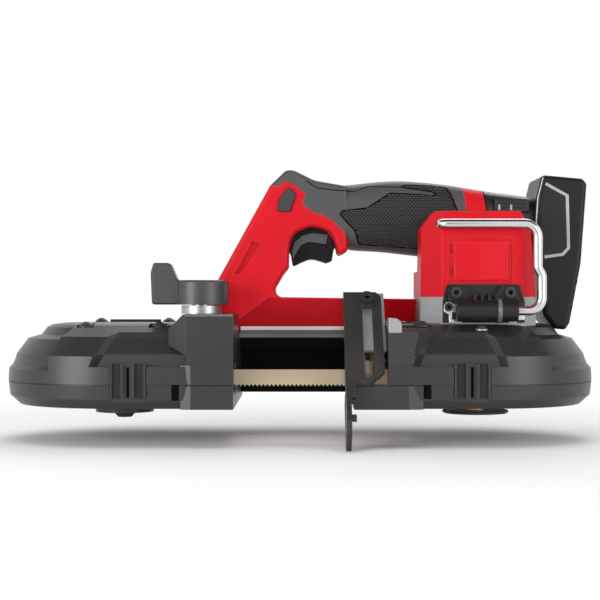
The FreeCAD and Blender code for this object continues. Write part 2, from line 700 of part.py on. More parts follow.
# Blade: one closed band, twisted between the wheels and the guides, toothed where it cuts
def band_section(x, angle):
    half_w = BLADE_WIDTH / 2
    half_t = BLADE_THICKNESS / 2
    outline = [(-half_t, -half_w), (half_t, -half_w), (half_t, half_w), (-half_t, half_w)]
    corners = [vec(x, y, z) for y, z in outline]
    wire = Part.makePolygon(corners + [corners[0]])
    wire.rotate(vec(x, 0, 0), AXIS_X, -angle)
    return wire


TWIST_RUN = 12.0
TWIST_STEPS = 8
stations = [(IDLER_X, 0.0)]
twists = [
    (IDLER_X + TWIST_RUN, GUIDE_FRONT - 4, 0.0, 90 - BLADE_TILT),
    (GUIDE_REAR + 4, DRIVE_X - TWIST_RUN, 90 - BLADE_TILT, 0.0),
]
for x0, x1, a0, a1 in twists:
    for step in range(TWIST_STEPS + 1):
        part = step / TWIST_STEPS
        smooth = part * part * (3 - 2 * part)
        stations.append((x0 + (x1 - x0) * part, a0 + (a1 - a0) * smooth))
stations.append((DRIVE_X, 0.0))
near_run = Part.makeLoft([band_section(x, a) for x, a in stations], True, True)
half_w = BLADE_WIDTH / 2
inner = LOOP_RADIUS - BLADE_THICKNESS / 2
outer = LOOP_RADIUS + BLADE_THICKNESS / 2
hoop_profile = [(inner, -half_w), (outer, -half_w), (outer, half_w), (inner, half_w)]
band = [near_run]
band.append(turned(hoop_profile, IDLER_X, LOOP_Y, 90, 180))
band.append(turned(hoop_profile, DRIVE_X, LOOP_Y, -90, 180))
band.append(box(IDLER_X, DRIVE_X, LOOP_Y + inner, LOOP_Y + outer, -half_w, half_w))
blade = joined(band)
teeth = []
tooth_count = int((THROAT_WIDTH + 16) / TOOTH_PITCH)
for i in range(tooth_count):
    x = -HALF_THROAT - 8 + i * TOOTH_PITCH
    tip = -half_w
    gullet = [(x, tip - 0.1), (x + TOOTH_PITCH * 0.86, tip - 0.1), (x + TOOTH_PITCH * 0.2, tip + TOOTH_DEPTH)]
    teeth.append(tilted(prism_xy(gullet, -1, 1)))
blade = blade.cut(Part.makeCompound(teeth))
keep("blade", blade)

# Idler wheel on its bearing, axle bolt in the tension slide
HUB_R = 14.0
RIM_OUT = WHEEL_RADIUS - TYRE_THICKNESS
HUB_TOP = SLIDE_BOTTOM - 1.0


def wheel_body(x, bore, flange, flange_low, flange_high):
    half = RIM_WIDTH / 2
    rim_in = RIM_OUT - RIM_THICKNESS
    profile = [(bore, flange_low), (flange, flange_low), (flange, flange_high)]
    profile += [(HUB_R, flange_high + 3), (HUB_R, -3), (rim_in - 1, -2.2), (rim_in, -half)]
    profile += [(RIM_OUT, -half), (RIM_OUT, half), (rim_in, half), (rim_in - 1, 2.2)]
    profile += [(HUB_R, 3), (HUB_R - 1, HUB_TOP), (bore, HUB_TOP)]
    wheel = turned(profile, x, LOOP_Y, 0, 360)
    holes = []
    reach = (HUB_R + rim_in) / 2
    for i in range(6):
        angle = math.radians(60 * i)
        hole_x = x + reach * math.cos(angle)
        hole_y = LOOP_Y + reach * math.sin(angle)
        holes.append(post(hole_x, hole_y, (rim_in - HUB_R) * 0.28, -8, 8))
    return wheel.cut(holes)


AXLE_R = 5.0
BEARING_R = 10.0
keep("idler_wheel", wheel_body(IDLER_X, BEARING_R, 18.0, -23.6, -20.4))
keep("idler_tyre", ring(IDLER_X, LOOP_Y, WHEEL_RADIUS, RIM_OUT, -RIM_WIDTH / 2, RIM_WIDTH / 2))
keep("idler_bearings", Part.makeCompound([
    ring(IDLER_X, LOOP_Y, BEARING_R, AXLE_R + RUN, HUB_TOP - 7, HUB_TOP),
    ring(IDLER_X, LOOP_Y, BEARING_R, AXLE_R + RUN, -19, -12),
]))
bolt_profile = [(0, -27), (4.4, -27), (6.8, -24), (6.8, -23.6 - FREE)]
bolt_profile += [(AXLE_R, -23.6 - FREE), (AXLE_R, SLIDE_TOP), (0, SLIDE_TOP)]
keep("idler_axle", turned(bolt_profile, IDLER_X, LOOP_Y, 0, 360))

# Tension slide under the deck, moved by the eccentric pin of the lever
pin_r = 2.6
pin_x = LEVER_X - LEVER_THROW
slide_right = LEVER_X + 9.0
slide_near = max(LEVER_Y - 6.0, FRONT_BOSS_BACK + LOOSE)
slide_plan = [
    (IDLER_X - 18, LOOP_Y - 10),
    (IDLER_X - 8, LOOP_Y - 20),
    (pin_x - 12, slide_near),
    (slide_right, slide_near),
    (slide_right, LOOP_Y + 16),
    (slide_right - 8, LOOP_Y + 24),
    (IDLER_X - 8, LOOP_Y + 24),
    (IDLER_X - 18, LOOP_Y + 10),
]
slide = prism_xy(slide_plan, SLIDE_BOTTOM, SLIDE_TOP)
slide = slide.cut(post(IDLER_X, LOOP_Y, AXLE_R, 0, 60))
cam_half = pin_r + LEVER_THROW * 0.24
cam_near = LEVER_Y - LEVER_THROW - cam_half
cam_far = LEVER_Y + LEVER_THROW + cam_half
slide = slide.cut(box(pin_x - cam_half, pin_x + cam_half, cam_near, cam_far, 0, 60))
for side in (-1, 1):
    at_y = LOOP_Y + side * BOLT_REACH
    window = [post(BOLT_X, at_y, 3 + SLIDE, 0, 60), post(BOLT_X - TRAVEL_TENSION, at_y, 3 + SLIDE, 0, 60)]
    window.append(box(BOLT_X - TRAVEL_TENSION, BOLT_X, at_y - 3 - SLIDE, at_y + 3 + SLIDE, 0, 60))
    slide = slide.cut(joined(window))
SPRING_LENGTH = 18.0
spring_end = spring_lug_x - SPRING_LENGTH
slide = slide.cut(box(spring_end, spring_lug_x + 3 + LOOSE, LOOP_Y - 4.6, LOOP_Y + 4.6, 0, 60))
keep("tension_slide", slide)
spring_z = (SLIDE_BOTTOM + SLIDE_TOP) / 2
spring_wire = 0.5
spring_start = vec(spring_end + spring_wire + 0.05, LOOP_Y, spring_z)
spring_run = SPRING_LENGTH - 2 * spring_wire - 0.1
keep("tension_spring", coil(spring_start, AXIS_X, 2.2, spring_wire, spring_run, 8))

# Tension lever: shaft, collar and knob with a paddle
COLLAR_TOP = TOWER_TOP + 5.0
KNOB_LOW = COLLAR_TOP + 0.5
KNOB_TOP = KNOB_LOW + 14.8
PADDLE_TOP = KNOB_TOP + 10.4
shaft = post(LEVER_X, LEVER_Y, 6.0, DECK_BOTTOM, KNOB_LOW)
keep("tension_shaft", joined([shaft, post(pin_x, LEVER_Y, pin_r, SLIDE_BOTTOM, DECK_BOTTOM)]))
keep("tension_collar", ring(LEVER_X, LEVER_Y, 12.3, 6 + RUN, TOWER_TOP, COLLAR_TOP))
knob = post(LEVER_X, LEVER_Y, 16.5, KNOB_LOW, KNOB_TOP)
knob = knob.makeFillet(1.8, [e for e in knob.Edges if e.BoundBox.ZMin > KNOB_TOP - 0.1])
paddle_outline = [
    (LEVER_X, KNOB_LOW, 0),
    (LEVER_X - 29.5, KNOB_LOW, 2.0),
    (LEVER_X - 30.3, PADDLE_TOP - 6, 8.0),
    (LEVER_X - 28.6, PADDLE_TOP, 1.6),
    (LEVER_X - 18.6, PADDLE_TOP, 3.0),
    (LEVER_X - 14.0, KNOB_TOP - 0.6, 4.0),
    (LEVER_X, KNOB_TOP - 0.6, 0),
]
paddle = rounded_slab(paddle_outline, LEVER_Y - 7.5, LEVER_Y + 7.5)
paddle_ends = edges_at_y(paddle, LEVER_Y - 7.5) + edges_at_y(paddle, LEVER_Y + 7.5)
paddle_rims = []
for edge in paddle_ends:
    if edge.BoundBox.XMin < LEVER_X - 15 and edge.BoundBox.ZMax > KNOB_LOW + 1:
        paddle_rims.append(edge)
paddle = paddle.makeChamfer(1.0, paddle_rims)
keep("tension_lever", joined([knob, paddle]))

# Guides: bracket, two side rollers that pinch the blade and one behind its back
ROLLER_R = 4.0
ROLLER_PIN = 1.5
side_offset = BLADE_THICKNESS / 2 + SLIDE + ROLLER_R
back_offset = BLADE_WIDTH / 2 + SLIDE + ROLLER_R
BRACKET_LOW = back_offset + ROLLER_R + 1.2


def guide(prefix, x, towards):
    back_x = x + towards * BACK_SHIFT
    ends = (x - towards * 5.0, back_x + towards * 4.0)
    x0 = min(ends)
    x1 = max(ends)
    block = box(x0, x1, BRACKET_LOW, GUIDE_SEAT - SLIDE, -GUIDE_HALF, GUIDE_HALF)
    cheeks = []
    for side in (-1, 1):
        a = side * (ROLLER_R + 1.0)
        b = side * GUIDE_HALF
        cheeks.append(box(back_x - 2.8, back_x + 2.8, back_offset - 3.0, BRACKET_LOW, min(a, b), max(a, b)))
    bracket = joined([block] + cheeks)
    pins = []
    rollers = []
    for side in (-1, 1):
        z = side * side_offset
        start = vec(x, -ROLLER_R - 1.0, z)
        pins.append(rod(ROLLER_PIN, start, vec(x, BRACKET_LOW + 5, z)))
        body = rod(ROLLER_R, vec(x, -ROLLER_R, z), vec(x, ROLLER_R + 2, z))
        rollers.append(body.cut(rod(ROLLER_PIN + RUN, vec(x, -20, z), vec(x, 20, z))))
    pins.append(post(back_x, back_offset, ROLLER_PIN, -GUIDE_HALF, GUIDE_HALF))
    rollers.append(ring(back_x, back_offset, ROLLER_R, ROLLER_PIN + RUN, -ROLLER_R, ROLLER_R))
    for pin in pins:
        bracket = bracket.cut(pin)
    keep(prefix + "_guide_bracket", tilted(bracket))
    for pin in pins:
        pin_list.append(tilted(pin))
    keep(prefix + "_roller_under", tilted(rollers[0]))
    keep(prefix + "_roller_over", tilted(rollers[1]))
    keep(prefix + "_roller_back", tilted(rollers[2]))


pin_list = []
guide("front", GUIDE_FRONT, -1)
guide("rear", GUIDE_REAR, 1)

# Shoe: bent plate with a clamping slot and a forked flange that the work bears on
plate_low = SHOE_PLANE + SLIDE
plate_high = plate_low + SHOE_THICKNESS
shoe_left = HALF_THROAT
shoe_right = HALF_THROAT + SHOE_WIDTH
plate_plan = [
    (shoe_left, SHOE_TOP),
    (shoe_right - 3, SHOE_TOP),
    (shoe_right, SHOE_TOP - 4),
    (shoe_right, -SHOE_FOOT + 9),
    (shoe_right - 8, -SHOE_FOOT),
    (shoe_left, -SHOE_FOOT),
]
plate = prism_xy(plate_plan, plate_low, plate_high)
slot_low = -SHOE_FOOT + 6
slot_high = SCREW_ALONG
slot_ends = [post(SLOT_X, slot_high, 3, 0, 40), post(SLOT_X, slot_low, 3, 0, 40)]
slot = joined([box(SLOT_X - 3, SLOT_X + 3, slot_low, slot_high, 0, 40)] + slot_ends)
fork_end = -BLADE_WIDTH / 2 - SHOE_TRAVEL - 3.0
SHOE_TIP = SHOE_WEB - fork_end
flange_plan = [
    (SHOE_TOP - 20, plate_high),
    (SHOE_TOP - 20, plate_low),
    (SHOE_TOP - 26, plate_low - 4),
    (BLADE_WIDTH, plate_low - 4),
    (BLADE_WIDTH, 3.5),
    (fork_end, 3.5),
    (fork_end, -3.5),
    (-BLADE_WIDTH / 2 - 3, -3.5),
    (-BLADE_WIDTH / 2 - 3, -14),
    (-SHOE_TIP + 8, -14),
    (-SHOE_TIP, -6),
    (-SHOE_TIP, plate_high - 5),
    (-SHOE_TIP + 5, plate_high),
]
flange = prism_yz(flange_plan, shoe_left, shoe_left + SHOE_THICKNESS)
lip_strip = box(shoe_left, shoe_left + 5.6, -SHOE_TIP + 6, SHOE_TOP - 20, plate_low, plate_high)
lip_strip = lip_strip.cut(post(shoe_left + 4.0, -SHOE_FOOT - 12, 1.3, 0, 40))
lip_strip = lip_strip.cut(box(shoe_left + 3.0, shoe_left + 9, -SHOE_TIP + 9, -SHOE_TIP + 19, 0, 40))
keep("shoe", tilted(joined([plate.cut(slot), flange, lip_strip])))
screw_seat = plate_high + SLIDE
screw_stem = shoe_screw_part(2.5, SHOE_PLANE - 10, screw_seat)
screw_washer = shoe_screw_part(6.0, screw_seat, screw_seat + 1.0)
screw_head = shoe_screw_part(4.2, screw_seat + 1.0, screw_seat + 4.6)
socket = shoe_screw_part(2.0, screw_seat + 2.6, screw_seat + 9)
keep("shoe_screw", tilted(joined([screw_stem, screw_washer, screw_head]).cut(socket)))

# Gears: involute flanks with a little backlash
PRESSURE = math.radians(25)
BACKLASH = 0.12


def gear(module, teeth, x, y, z0, z1, bore, phase):
    pitch = module * teeth / 2
    base = pitch * math.cos(PRESSURE)
    tip = pitch + 0.88 * module
    root = pitch - 1.25 * module
    half = math.pi / (2 * teeth) - BACKLASH / (2 * pitch)
    involute_pitch = math.tan(PRESSURE) - PRESSURE
    flank = []
    low = max(base, root)
    for step in range(4):
        r = low + (tip - low) * step / 3
        slope = math.acos(min(1.0, base / r))
        flank.append((r, half + involute_pitch - (math.tan(slope) - slope)))
    outline = []
    for i in range(teeth):
        centre = phase + 2 * math.pi * i / teeth
        rows = [(root, -flank[0][1])] + [(r, -a) for r, a in flank]
        rows += [(r, a) for r, a in reversed(flank)] + [(root, flank[0][1])]
        for r, a in rows:
            spot = vec(x + r * math.cos(centre + a), y + r * math.sin(centre + a), z0)
            if not outline or spot.distanceToPoint(outline[-1]) > 1e-4:
                outline.append(spot)
    body = face_of(outline).extrude(vec(0, 0, z1 - z0))
    return body.cut(post(x, y, bore, z0 - 1, z1 + 1)) if bore > 0 else body


GEAR_LOW = DECK_TOP + 2.0
SLOW_TOP = GEAR_LOW + 8.0
FAST_LOW = SLOW_TOP + 1.0
FAST_TOP = FAST_LOW + 5.0
ROOF_LOW = CASE_TOP - 4.0
output_phase = SLOW_ANGLE + math.pi / TEETH_OUTPUT
output = gear(MODULE_SLOW, TEETH_OUTPUT, DRIVE_X, LOOP_Y, GEAR_LOW, SLOW_TOP, SHAFT_R, output_phase)
windows = []
for i in range(5):
    angle = math.radians(72 * i)
    windows.append(post(DRIVE_X + 12 * math.cos(angle), LOOP_Y + 12 * math.sin(angle), 3.2, 0, 60))
keep("output_gear", output.cut(windows))
small = gear(MODULE_SLOW, TEETH_SLOW, PIN_X, PIN_Y, GEAR_LOW, FAST_LOW, 0, SLOW_ANGLE + math.pi)
large = gear(MODULE_FAST, TEETH_FAST, PIN_X, PIN_Y, FAST_LOW, FAST_TOP, 0, FAST_ANGLE + math.pi / TEETH_FAST)
compound = joined([small, large]).cut(post(PIN_X, PIN_Y, PIN_R + RUN, 0, 90))
keep("compound_gear", compound)
pin_list.append(post(PIN_X, PIN_Y, PIN_R, DECK_TOP - 4, CASE_TOP - 1.5))
keep("pins", Part.makeCompound(pin_list))

# Drive wheel, shaft, bearings and the retainer under the hub
keep("drive_wheel", wheel_body(DRIVE_X, SHAFT_R, 17.0, -18.0, -16.0))
keep("drive_tyre", ring(DRIVE_X, LOOP_Y, WHEEL_RADIUS, RIM_OUT, -RIM_WIDTH / 2, RIM_WIDTH / 2))
UPPER_BEARING_R = 9.0
BEARING_LOW = SLOW_TOP + 2.5
keep("drive_shaft", post(DRIVE_X, LOOP_Y, SHAFT_R, -18.0, CASE_TOP - 1.0))
keep("drive_bearings", Part.makeCompound([
    ring(DRIVE_X, LOOP_Y, LOWER_BEARING_R, SHAFT_R + RUN, DECK_BOTTOM, DECK_TOP),
    ring(DRIVE_X, LOOP_Y, UPPER_BEARING_R, SHAFT_R + RUN, BEARING_LOW, ROOF_LOW),
]))
keep("drive_spacer", post(DRIVE_X, LOOP_Y, 5.4, -22.8, -18.0))
retainer_profile = [(0, -24.6), (19.5, -24.6), (20.5, -24.0), (20.5, -23.2), (20.0, -22.8), (0, -22.8)]
keep("drive_retainer", turned(retainer_profile, DRIVE_X, LOOP_Y, 0, 360))

# Gear case over the deck, with bearing boss and motor spigot
STATOR_LOW = CASE_TOP + 7.7
STATOR_TOP = STATOR_LOW + 28.0
ROTOR_R = 8.6
MOTOR_SHAFT_R = 2.5
case = plan_prism(case_plan, 0, DECK_TOP, CASE_TOP)
case = case.cut(plan_prism(case_plan, -COVER_WALL, DECK_TOP - 1, ROOF_LOW))
case = joined([case, post(DRIVE_X, LOOP_Y, UPPER_BEARING_R + 2, BEARING_LOW, ROOF_LOW + 1),
               ring(MOTOR_X, MOTOR_Y, STATOR_R, STATOR_R - 3, CASE_TOP - 1, STATOR_LOW)])
case = case.cut(post(DRIVE_X, LOOP_Y, UPPER_BEARING_R, 0, ROOF_LOW))
case = case.cut(post(DRIVE_X, LOOP_Y, SHAFT_R + FREE, 0, CASE_TOP - 0.6))
case = case.cut([post(PIN_X, PIN_Y, PIN_R, 0, CASE_TOP - 1.5), post(MOTOR_X, MOTOR_Y, 6.0, 0, 100)])
low_spots = [(BLOCK_LEFT + 15.7, CASE_TOP - 6.0), (BLOCK_RIGHT - 11.0, CASE_TOP - 6.0)]
for x, z in low_spots:
    case = case.cut(rod(1.6, vec(x, -50, z), vec(x, BLOCK_FRONT + 2.5, z)))
keep("gear_case", case)

# Motor: rotor with fan and pinion, stator, bearings
rotor = [post(MOTOR_X, MOTOR_Y, MOTOR_SHAFT_R, FAST_LOW, COVER_TOP - COVER_WALL - 0.8),
         post(MOTOR_X, MOTOR_Y, ROTOR_R, STATOR_LOW + 2, STATOR_TOP - 2),
         ring(MOTOR_X, MOTOR_Y, 12.0, MOTOR_SHAFT_R - 0.5, CASE_TOP + 2.2, CASE_TOP + 3.4),
         gear(MODULE_FAST, TEETH_MOTOR, MOTOR_X, MOTOR_Y, FAST_LOW, FAST_TOP, 0, FAST_ANGLE + math.pi)]
for i in range(9):
    blade_fin = box(4, 11.6, -0.5, 0.5, CASE_TOP + 3.2, CASE_TOP + 6.8)
    blade_fin.rotate(ORIGIN, AXIS_Z, 40 * i)
    blade_fin.translate(vec(MOTOR_X, MOTOR_Y, 0))
    rotor.append(blade_fin)
keep("motor_rotor", joined(rotor))
stator = ring(MOTOR_X, MOTOR_Y, STATOR_R, STATOR_R - 2.4, STATOR_LOW, STATOR_TOP)
poles = []
for i in range(6):
    pole = box(ROTOR_R + 0.5, STATOR_R - 2, -2.6, 2.6, STATOR_LOW + 1, STATOR_TOP - 1)
    pole.rotate(ORIGIN, AXIS_Z, 60 * i)
    pole.translate(vec(MOTOR_X, MOTOR_Y, 0))
    poles.append(pole)
keep("motor_stator", joined([stator] + poles))
TOP_BEARING_LOW = COVER_TOP - COVER_WALL - 6.0
keep("motor_bearings", Part.makeCompound([
    ring(MOTOR_X, MOTOR_Y, 6.0, MOTOR_SHAFT_R + RUN, ROOF_LOW, CASE_TOP),
    ring(MOTOR_X, MOTOR_Y, 6.0, MOTOR_SHAFT_R + RUN, TOP_BEARING_LOW, COVER_TOP - COVER_WALL - 0.8),
]))

# Motor cover: faceted block with a framed panel, lower saddle under the grip
tall_plan = [
    (BLOCK_LEFT, BLOCK_FRONT + 12),
    (BLOCK_LEFT + 11.9, BLOCK_FRONT),
    (BLOCK_RIGHT - 9, BLOCK_FRONT),
    (BLOCK_RIGHT, BLOCK_FRONT + 9),
    (BLOCK_RIGHT, COVER_BACK),
    (BLOCK_LEFT, COVER_BACK),
]
front_outline = [
    (BLOCK_LEFT, CASE_TOP),
    (BLOCK_LEFT + 0.6, COVER_TOP - 9.5),
    (BLOCK_LEFT + 8, COVER_TOP),
    (BLOCK_RIGHT - 10.5, COVER_TOP),
    (BLOCK_RIGHT - 3.5, COVER_TOP - 12.5),
    (BLOCK_RIGHT, CASE_TOP),
]
cover = plan_prism(tall_plan, 0, CASE_TOP, COVER_TOP)
cover = cover.common(prism_xz(front_outline, BLOCK_FRONT - 1, COVER_BACK + 1))
saddle_plan = [
    (BLOCK_LEFT, COVER_BACK - 1),
    (BLOCK_RIGHT, COVER_BACK - 1),
    (BLOCK_RIGHT, BLOCK_BACK - 8),
    (BLOCK_RIGHT - 8, BLOCK_BACK),
    (BLOCK_LEFT + 8, BLOCK_BACK),
    (BLOCK_LEFT, BLOCK_BACK - 8),
]
saddle = prism_xy(saddle_plan, CASE_TOP, SADDLE_TOP)
panel_x0 = BLOCK_LEFT + 15.8
panel_x1 = BLOCK_RIGHT - 15.0
panel_z0 = CASE_TOP + 7.4
panel_z1 = COVER_TOP - 15.5
panel_mid = (panel_x0 + panel_x1) / 2
panel = prism_xy([
    (panel_x0 + 3.6, BLOCK_FRONT + 0.5),
    (panel_x0 + 5.2, BLOCK_FRONT - 1.2),
    (panel_mid, BLOCK_FRONT - 2.6),
    (panel_x1 - 3.0, BLOCK_FRONT - 1.2),
    (panel_x1 - 1.6, BLOCK_FRONT + 0.5),
], panel_z0 + 3, panel_z1 - 3)
groove = box(panel_x0, panel_x1, BLOCK_FRONT - 1, BLOCK_FRONT + 1.0, panel_z0, panel_z1)
framed = box(panel_x0 + 3.6, panel_x1 - 1.6, BLOCK_FRONT - 2, BLOCK_FRONT + 2, panel_z0 + 3, panel_z1 - 3)
groove = groove.cut(framed)
cover = joined([cover.cut(groove), panel, saddle])
cover_room = plan_prism(tall_plan, -COVER_WALL, CASE_TOP - 1, COVER_TOP - COVER_WALL)
room_limit = prism_xz([
    (BLOCK_LEFT, CASE_TOP - 2),
    (BLOCK_LEFT + 4, COVER_TOP - 9.5 - COVER_WALL),
    (BLOCK_LEFT + 9, COVER_TOP - COVER_WALL),
    (BLOCK_RIGHT - 13, COVER_TOP - COVER_WALL),
    (BLOCK_RIGHT - 7.5, COVER_TOP - 13.5),
    (BLOCK_RIGHT - 3, CASE_TOP - 2),
], BLOCK_FRONT, COVER_BACK)
saddle_roof = SADDLE_TOP - COVER_WALL
saddle_room = box(BLOCK_LEFT + 8, BLOCK_RIGHT - 8, COVER_BACK + 2, BLOCK_BACK - 8, CASE_TOP - 1, saddle_roof)
cover = cover.cut([cover_room.common(room_limit), saddle_room])
bearing_boss = post(MOTOR_X, MOTOR_Y, 8.5, TOP_BEARING_LOW, COVER_TOP - COVER_WALL + 0.5)
cover = joined([cover, bearing_boss])
cover = cover.cut(post(MOTOR_X, MOTOR_Y, 6.0, TOP_BEARING_LOW - 1, COVER_TOP - COVER_WALL - 0.8))
dimple_x = panel_x0 + 1.8
dimple_end = BLOCK_FRONT + 2.2
for share in (0.26, 0.755):
    z = panel_z0 + (panel_z1 - panel_z0) * share
    dimple = [box(dimple_x - 1.7, dimple_x + 1.7, BLOCK_FRONT - 4, dimple_end, z - 1.6, z + 1.6)]
    for rise in (-1.6, 1.6):
        dimple.append(rod(1.7, vec(dimple_x, BLOCK_FRONT - 4, z + rise), vec(dimple_x, dimple_end, z + rise)))
    cover = cover.cut(joined(dimple))
high_spots = [(BLOCK_LEFT + 19.8, CASE_TOP + 2.7), (BLOCK_RIGHT - 17.3, CASE_TOP + 2.7)]
for x, z in high_spots:
    cover = cover.cut(rod(1.6, vec(x, -50, z), vec(x, BLOCK_FRONT + 2.5, z)))
keep("motor_cover", cover)

# Handle form: leg, head and bar as one rounded slab, grip as a loft of soft sections
FOOT_Z = GUARD_TOP + 0.4
HEAD_END = 36.0
handle_corners = [
    (-HALF_THROAT - 4.0, DECK_TOP, 0),
    (-HALF_THROAT - 4.0, FOOT_Z, 0),
    (-59.6, FOOT_Z, 2),
    (-12.6, 117.0, 10),
    (-2.2, 127.0, 6),
    (2.8, 126.4, 8),
    (15.0, 120.3, 14),
    (HEAD_END, 116.6, 0),
    (HEAD_END, 76.0, 3),
    (30.0, 73.0, 2.5),
    (28.9, 78.0, 4),
    (25.6, 87.6, 7),
    (14.0, 92.0, 12),
    (1.6, 87.0, 10),
    (-0.7, 77.0, 6),
    (-0.9, 66.0, 4),
    (-4.4, 61.4, 2),
    (-12.7, BAR_TOP, 6),
    (BLOCK_LEFT - SLIDE, BAR_TOP - 1.2, 0),
    (BLOCK_LEFT - SLIDE, FOOT_Z, 0),
    (REAR_LEFT - 0.2, FOOT_Z, 0),
    (REAR_LEFT - 0.2, DECK_TOP, 0),
]
grip_stations = [
    (24.0, 118.0, 86.0),
    (HEAD_END, 118.3, 77.6),
    (52.6, 120.0, 76.2),
    (68.9, 120.8, 74.6),
    (84.0, 119.9, 73.0),
    (107.9, 116.9, 70.4),
    (RING_END, 114.6, 69.0),
    (RING_END + 18.1, 112.2, 67.2),
    (PACK_X, 109.6, 65.4),
]
near_side = HANDLE_Y - HANDLE_HALF
far_side = HANDLE_Y + HANDLE_HALF


def soft_section(x, top, low, half, power):
    """Closed soft oval across the grip."""
    middle = (top + low) / 2
    rise = (top - low) / 2
    points = []
    for i in range(20):
        angle = 2 * math.pi * i / 20
        c = math.cos(angle)
        s = math.sin(angle)
        y = HANDLE_Y + half * math.copysign(abs(c) ** (2 / power), c)
        z = middle + rise * math.copysign(abs(s) ** (2 / power), s)
        points.append(vec(x, y, z))
    curve = Part.BSplineCurve()
    curve.interpolate(points, PeriodicFlag=True)
    return Part.Wire(curve.toShape())


def grip_form(inset):
    wires = []
    for x, top, low in grip_stations:
        wires.append(soft_section(x, top - inset, low + inset, HANDLE_HALF - inset, 2.7))
    return Part.makeLoft(wires, True, False)


def slab_form(inset):
    wire = rounded_wire(handle_corners, near_side + inset)
    if inset:
        wire = wire.makeOffset2D(-inset, 2)
    return Part.Face(wire).extrude(vec(0, 2 * (HANDLE_HALF - inset), 0))


def ring_side(shift):
    """Everything on the handle side of the slanted joint between ring and battery neck."""
    lean = 0.1
    top = 160.0
    low = 20.0
    at_top = RING_END - 1.0 + shift - lean * (top - 113.7)
    at_low = RING_END - 1.0 + shift - lean * (low - 113.7)
    return prism_xz([(-100, low), (at_low, low), (at_top, top), (-100, top)], 0, 200)


slab = slab_form(0)
rims = []
for edge in edges_at_y(slab, near_side) + edges_at_y(slab, far_side):
    bounds = edge.BoundBox
    if bounds.ZMax > FOOT_Z + 1:
        rims.append(edge)
slab = slab.makeFillet(SIDE_ROUND, rims)
throat_side = prism_yz([(0, 0), (0, SLANT), (SLANT, 0)], -100, BLOCK_LEFT)
crease = 1.37
waste_limit = prism_xz([
    (-12.3, BAR_TOP + 0.6),
    (BLOCK_LEFT, BAR_TOP + 0.6),
    (BLOCK_LEFT, 0),
    (-12.3 - crease * BAR_TOP, 0),
], 0, 200)
waste = throat_side.common(waste_limit)
grip = grip_form(0)
handle = joined([slab.cut(waste), grip.common(ring_side(0))])
core = joined([slab_form(RUBBER), grip_form(RUBBER)])
room_slant = prism_yz([(0, 0), (0, SLANT + SHELL_WALL * 1.42), (SLANT + SHELL_WALL * 1.42, 0)], -100, 200)
slab_room = slab_form(SHELL_WALL).cut(room_slant.common(waste_limit))
grip_room = grip_form(SHELL_WALL)
room = joined([slab_room, grip_room])
columns = [(-40.0, 47.0), (-13.0, 92.0), (12.0, 36.0), (60.0, 39.5)]
for x, z in columns:
    room = room.cut(rod(3.6, vec(x, near_side, z), vec(x, far_side, z)))

# Rubber over the head and the grip
rubber_border = [
    (-13.9, 117.0),
    (-6.6, 116.2),
    (-3.0, 119.7),
    (1.5, 117.8),
    (9.6, 111.7),
    (7.6, 105.2),
    (15.3, 99.6),
    (20.1, 98.7),
    (26.6, 94.7),
    (33.9, 87.3),
    (36.6, 80.9),
    (37.6, 60.0),
    (RING_END - 6.1, 60.0),
    (RING_END - 15.8, 130.0),
    (20.0, 140.0),
    (-20.0, 140.0),
]
rubber_zone = prism_xz(rubber_border, 0, 200)
rubber = handle.cut(core).common(rubber_zone)

# Grip foot that stands on the saddle behind the motor
foot_block = box(BLOCK_LEFT + 8, RING_END - 8, HANDLE_Y - 11, HANDLE_Y + 11, SADDLE_TOP, 82)
foot_room = box(BLOCK_LEFT + 12, RING_END - 12, HANDLE_Y - 7, HANDLE_Y + 7, SADDLE_TOP - 1, 82)
foot = foot_block.cut(foot_room).cut(core)
shell = joined([handle.cut(rubber).cut(room), foot])
rubber = rubber.cut(foot_block)

# Trigger opening, lock button hole, finger scoop on the leg, screw columns
TRIGGER_HALF = 8.5
TRIGGER_TRAVEL = 5.0
shell = shell.cut(box(-2.6, 30.2, HANDLE_Y - TRIGGER_HALF - LOOSE, HANDLE_Y + TRIGGER_HALF + LOOSE, 60, 99))
lock_outline = [(-1.0, 115.4), (3.4, 111.4), (-0.4, 100.4), (-7.6, 101.0), (-6.6, 108.4)]


def lock_prism(grow, y0, y1):
    wire = Part.makePolygon([vec(x, y0, z) for x, z in lock_outline + [lock_outline[0]]])
    if grow:
        wire = wire.makeOffset2D(grow, 2)
    return Part.Face(wire).extrude(vec(0, y1 - y0, 0))


shell = shell.cut(lock_prism(FREE, 0, 200))
rubber = rubber.cut(lock_prism(FREE, 0, 200))
scoop = [(-23.8, 82.4), (-18.0, 80.5), (-30.7, 61.4), (-35.2, 61.4)]
SCOOP_DEPTH = 3.0
shell = shell.cut(prism_xz(scoop, near_side - 1, near_side + SCOOP_DEPTH))
shell = shell.cut(prism_xz(scoop, far_side - SCOOP_DEPTH, far_side + 1))
for x, z in columns:
    shell = shell.cut(rod(1.6, vec(x, HANDLE_Y - 4, z), vec(x, far_side + 1, z)))
    shell = shell.cut(rod(3.4, vec(x, far_side - 2.4, z), vec(x, far_side + 1, z)))
    stem = rod(1.6, vec(x, HANDLE_Y - 4, z), vec(x, far_side - 2.4, z))
    screw_list.append(joined([stem, rod(3.0, vec(x, far_side - 2.4, z), vec(x, far_side - 0.4, z))]))
near_half = box(-400, 400, -200, HANDLE_Y, -200, 400)
far_half = box(-400, 400, HANDLE_Y, 400, -200, 400)
keep("handle_shell_near", shell.common(near_half))
keep("handle_shell_far", shell.common(far_half))
keep("grip_near", rubber.common(near_half))
keep("grip_far", rubber.common(far_half))

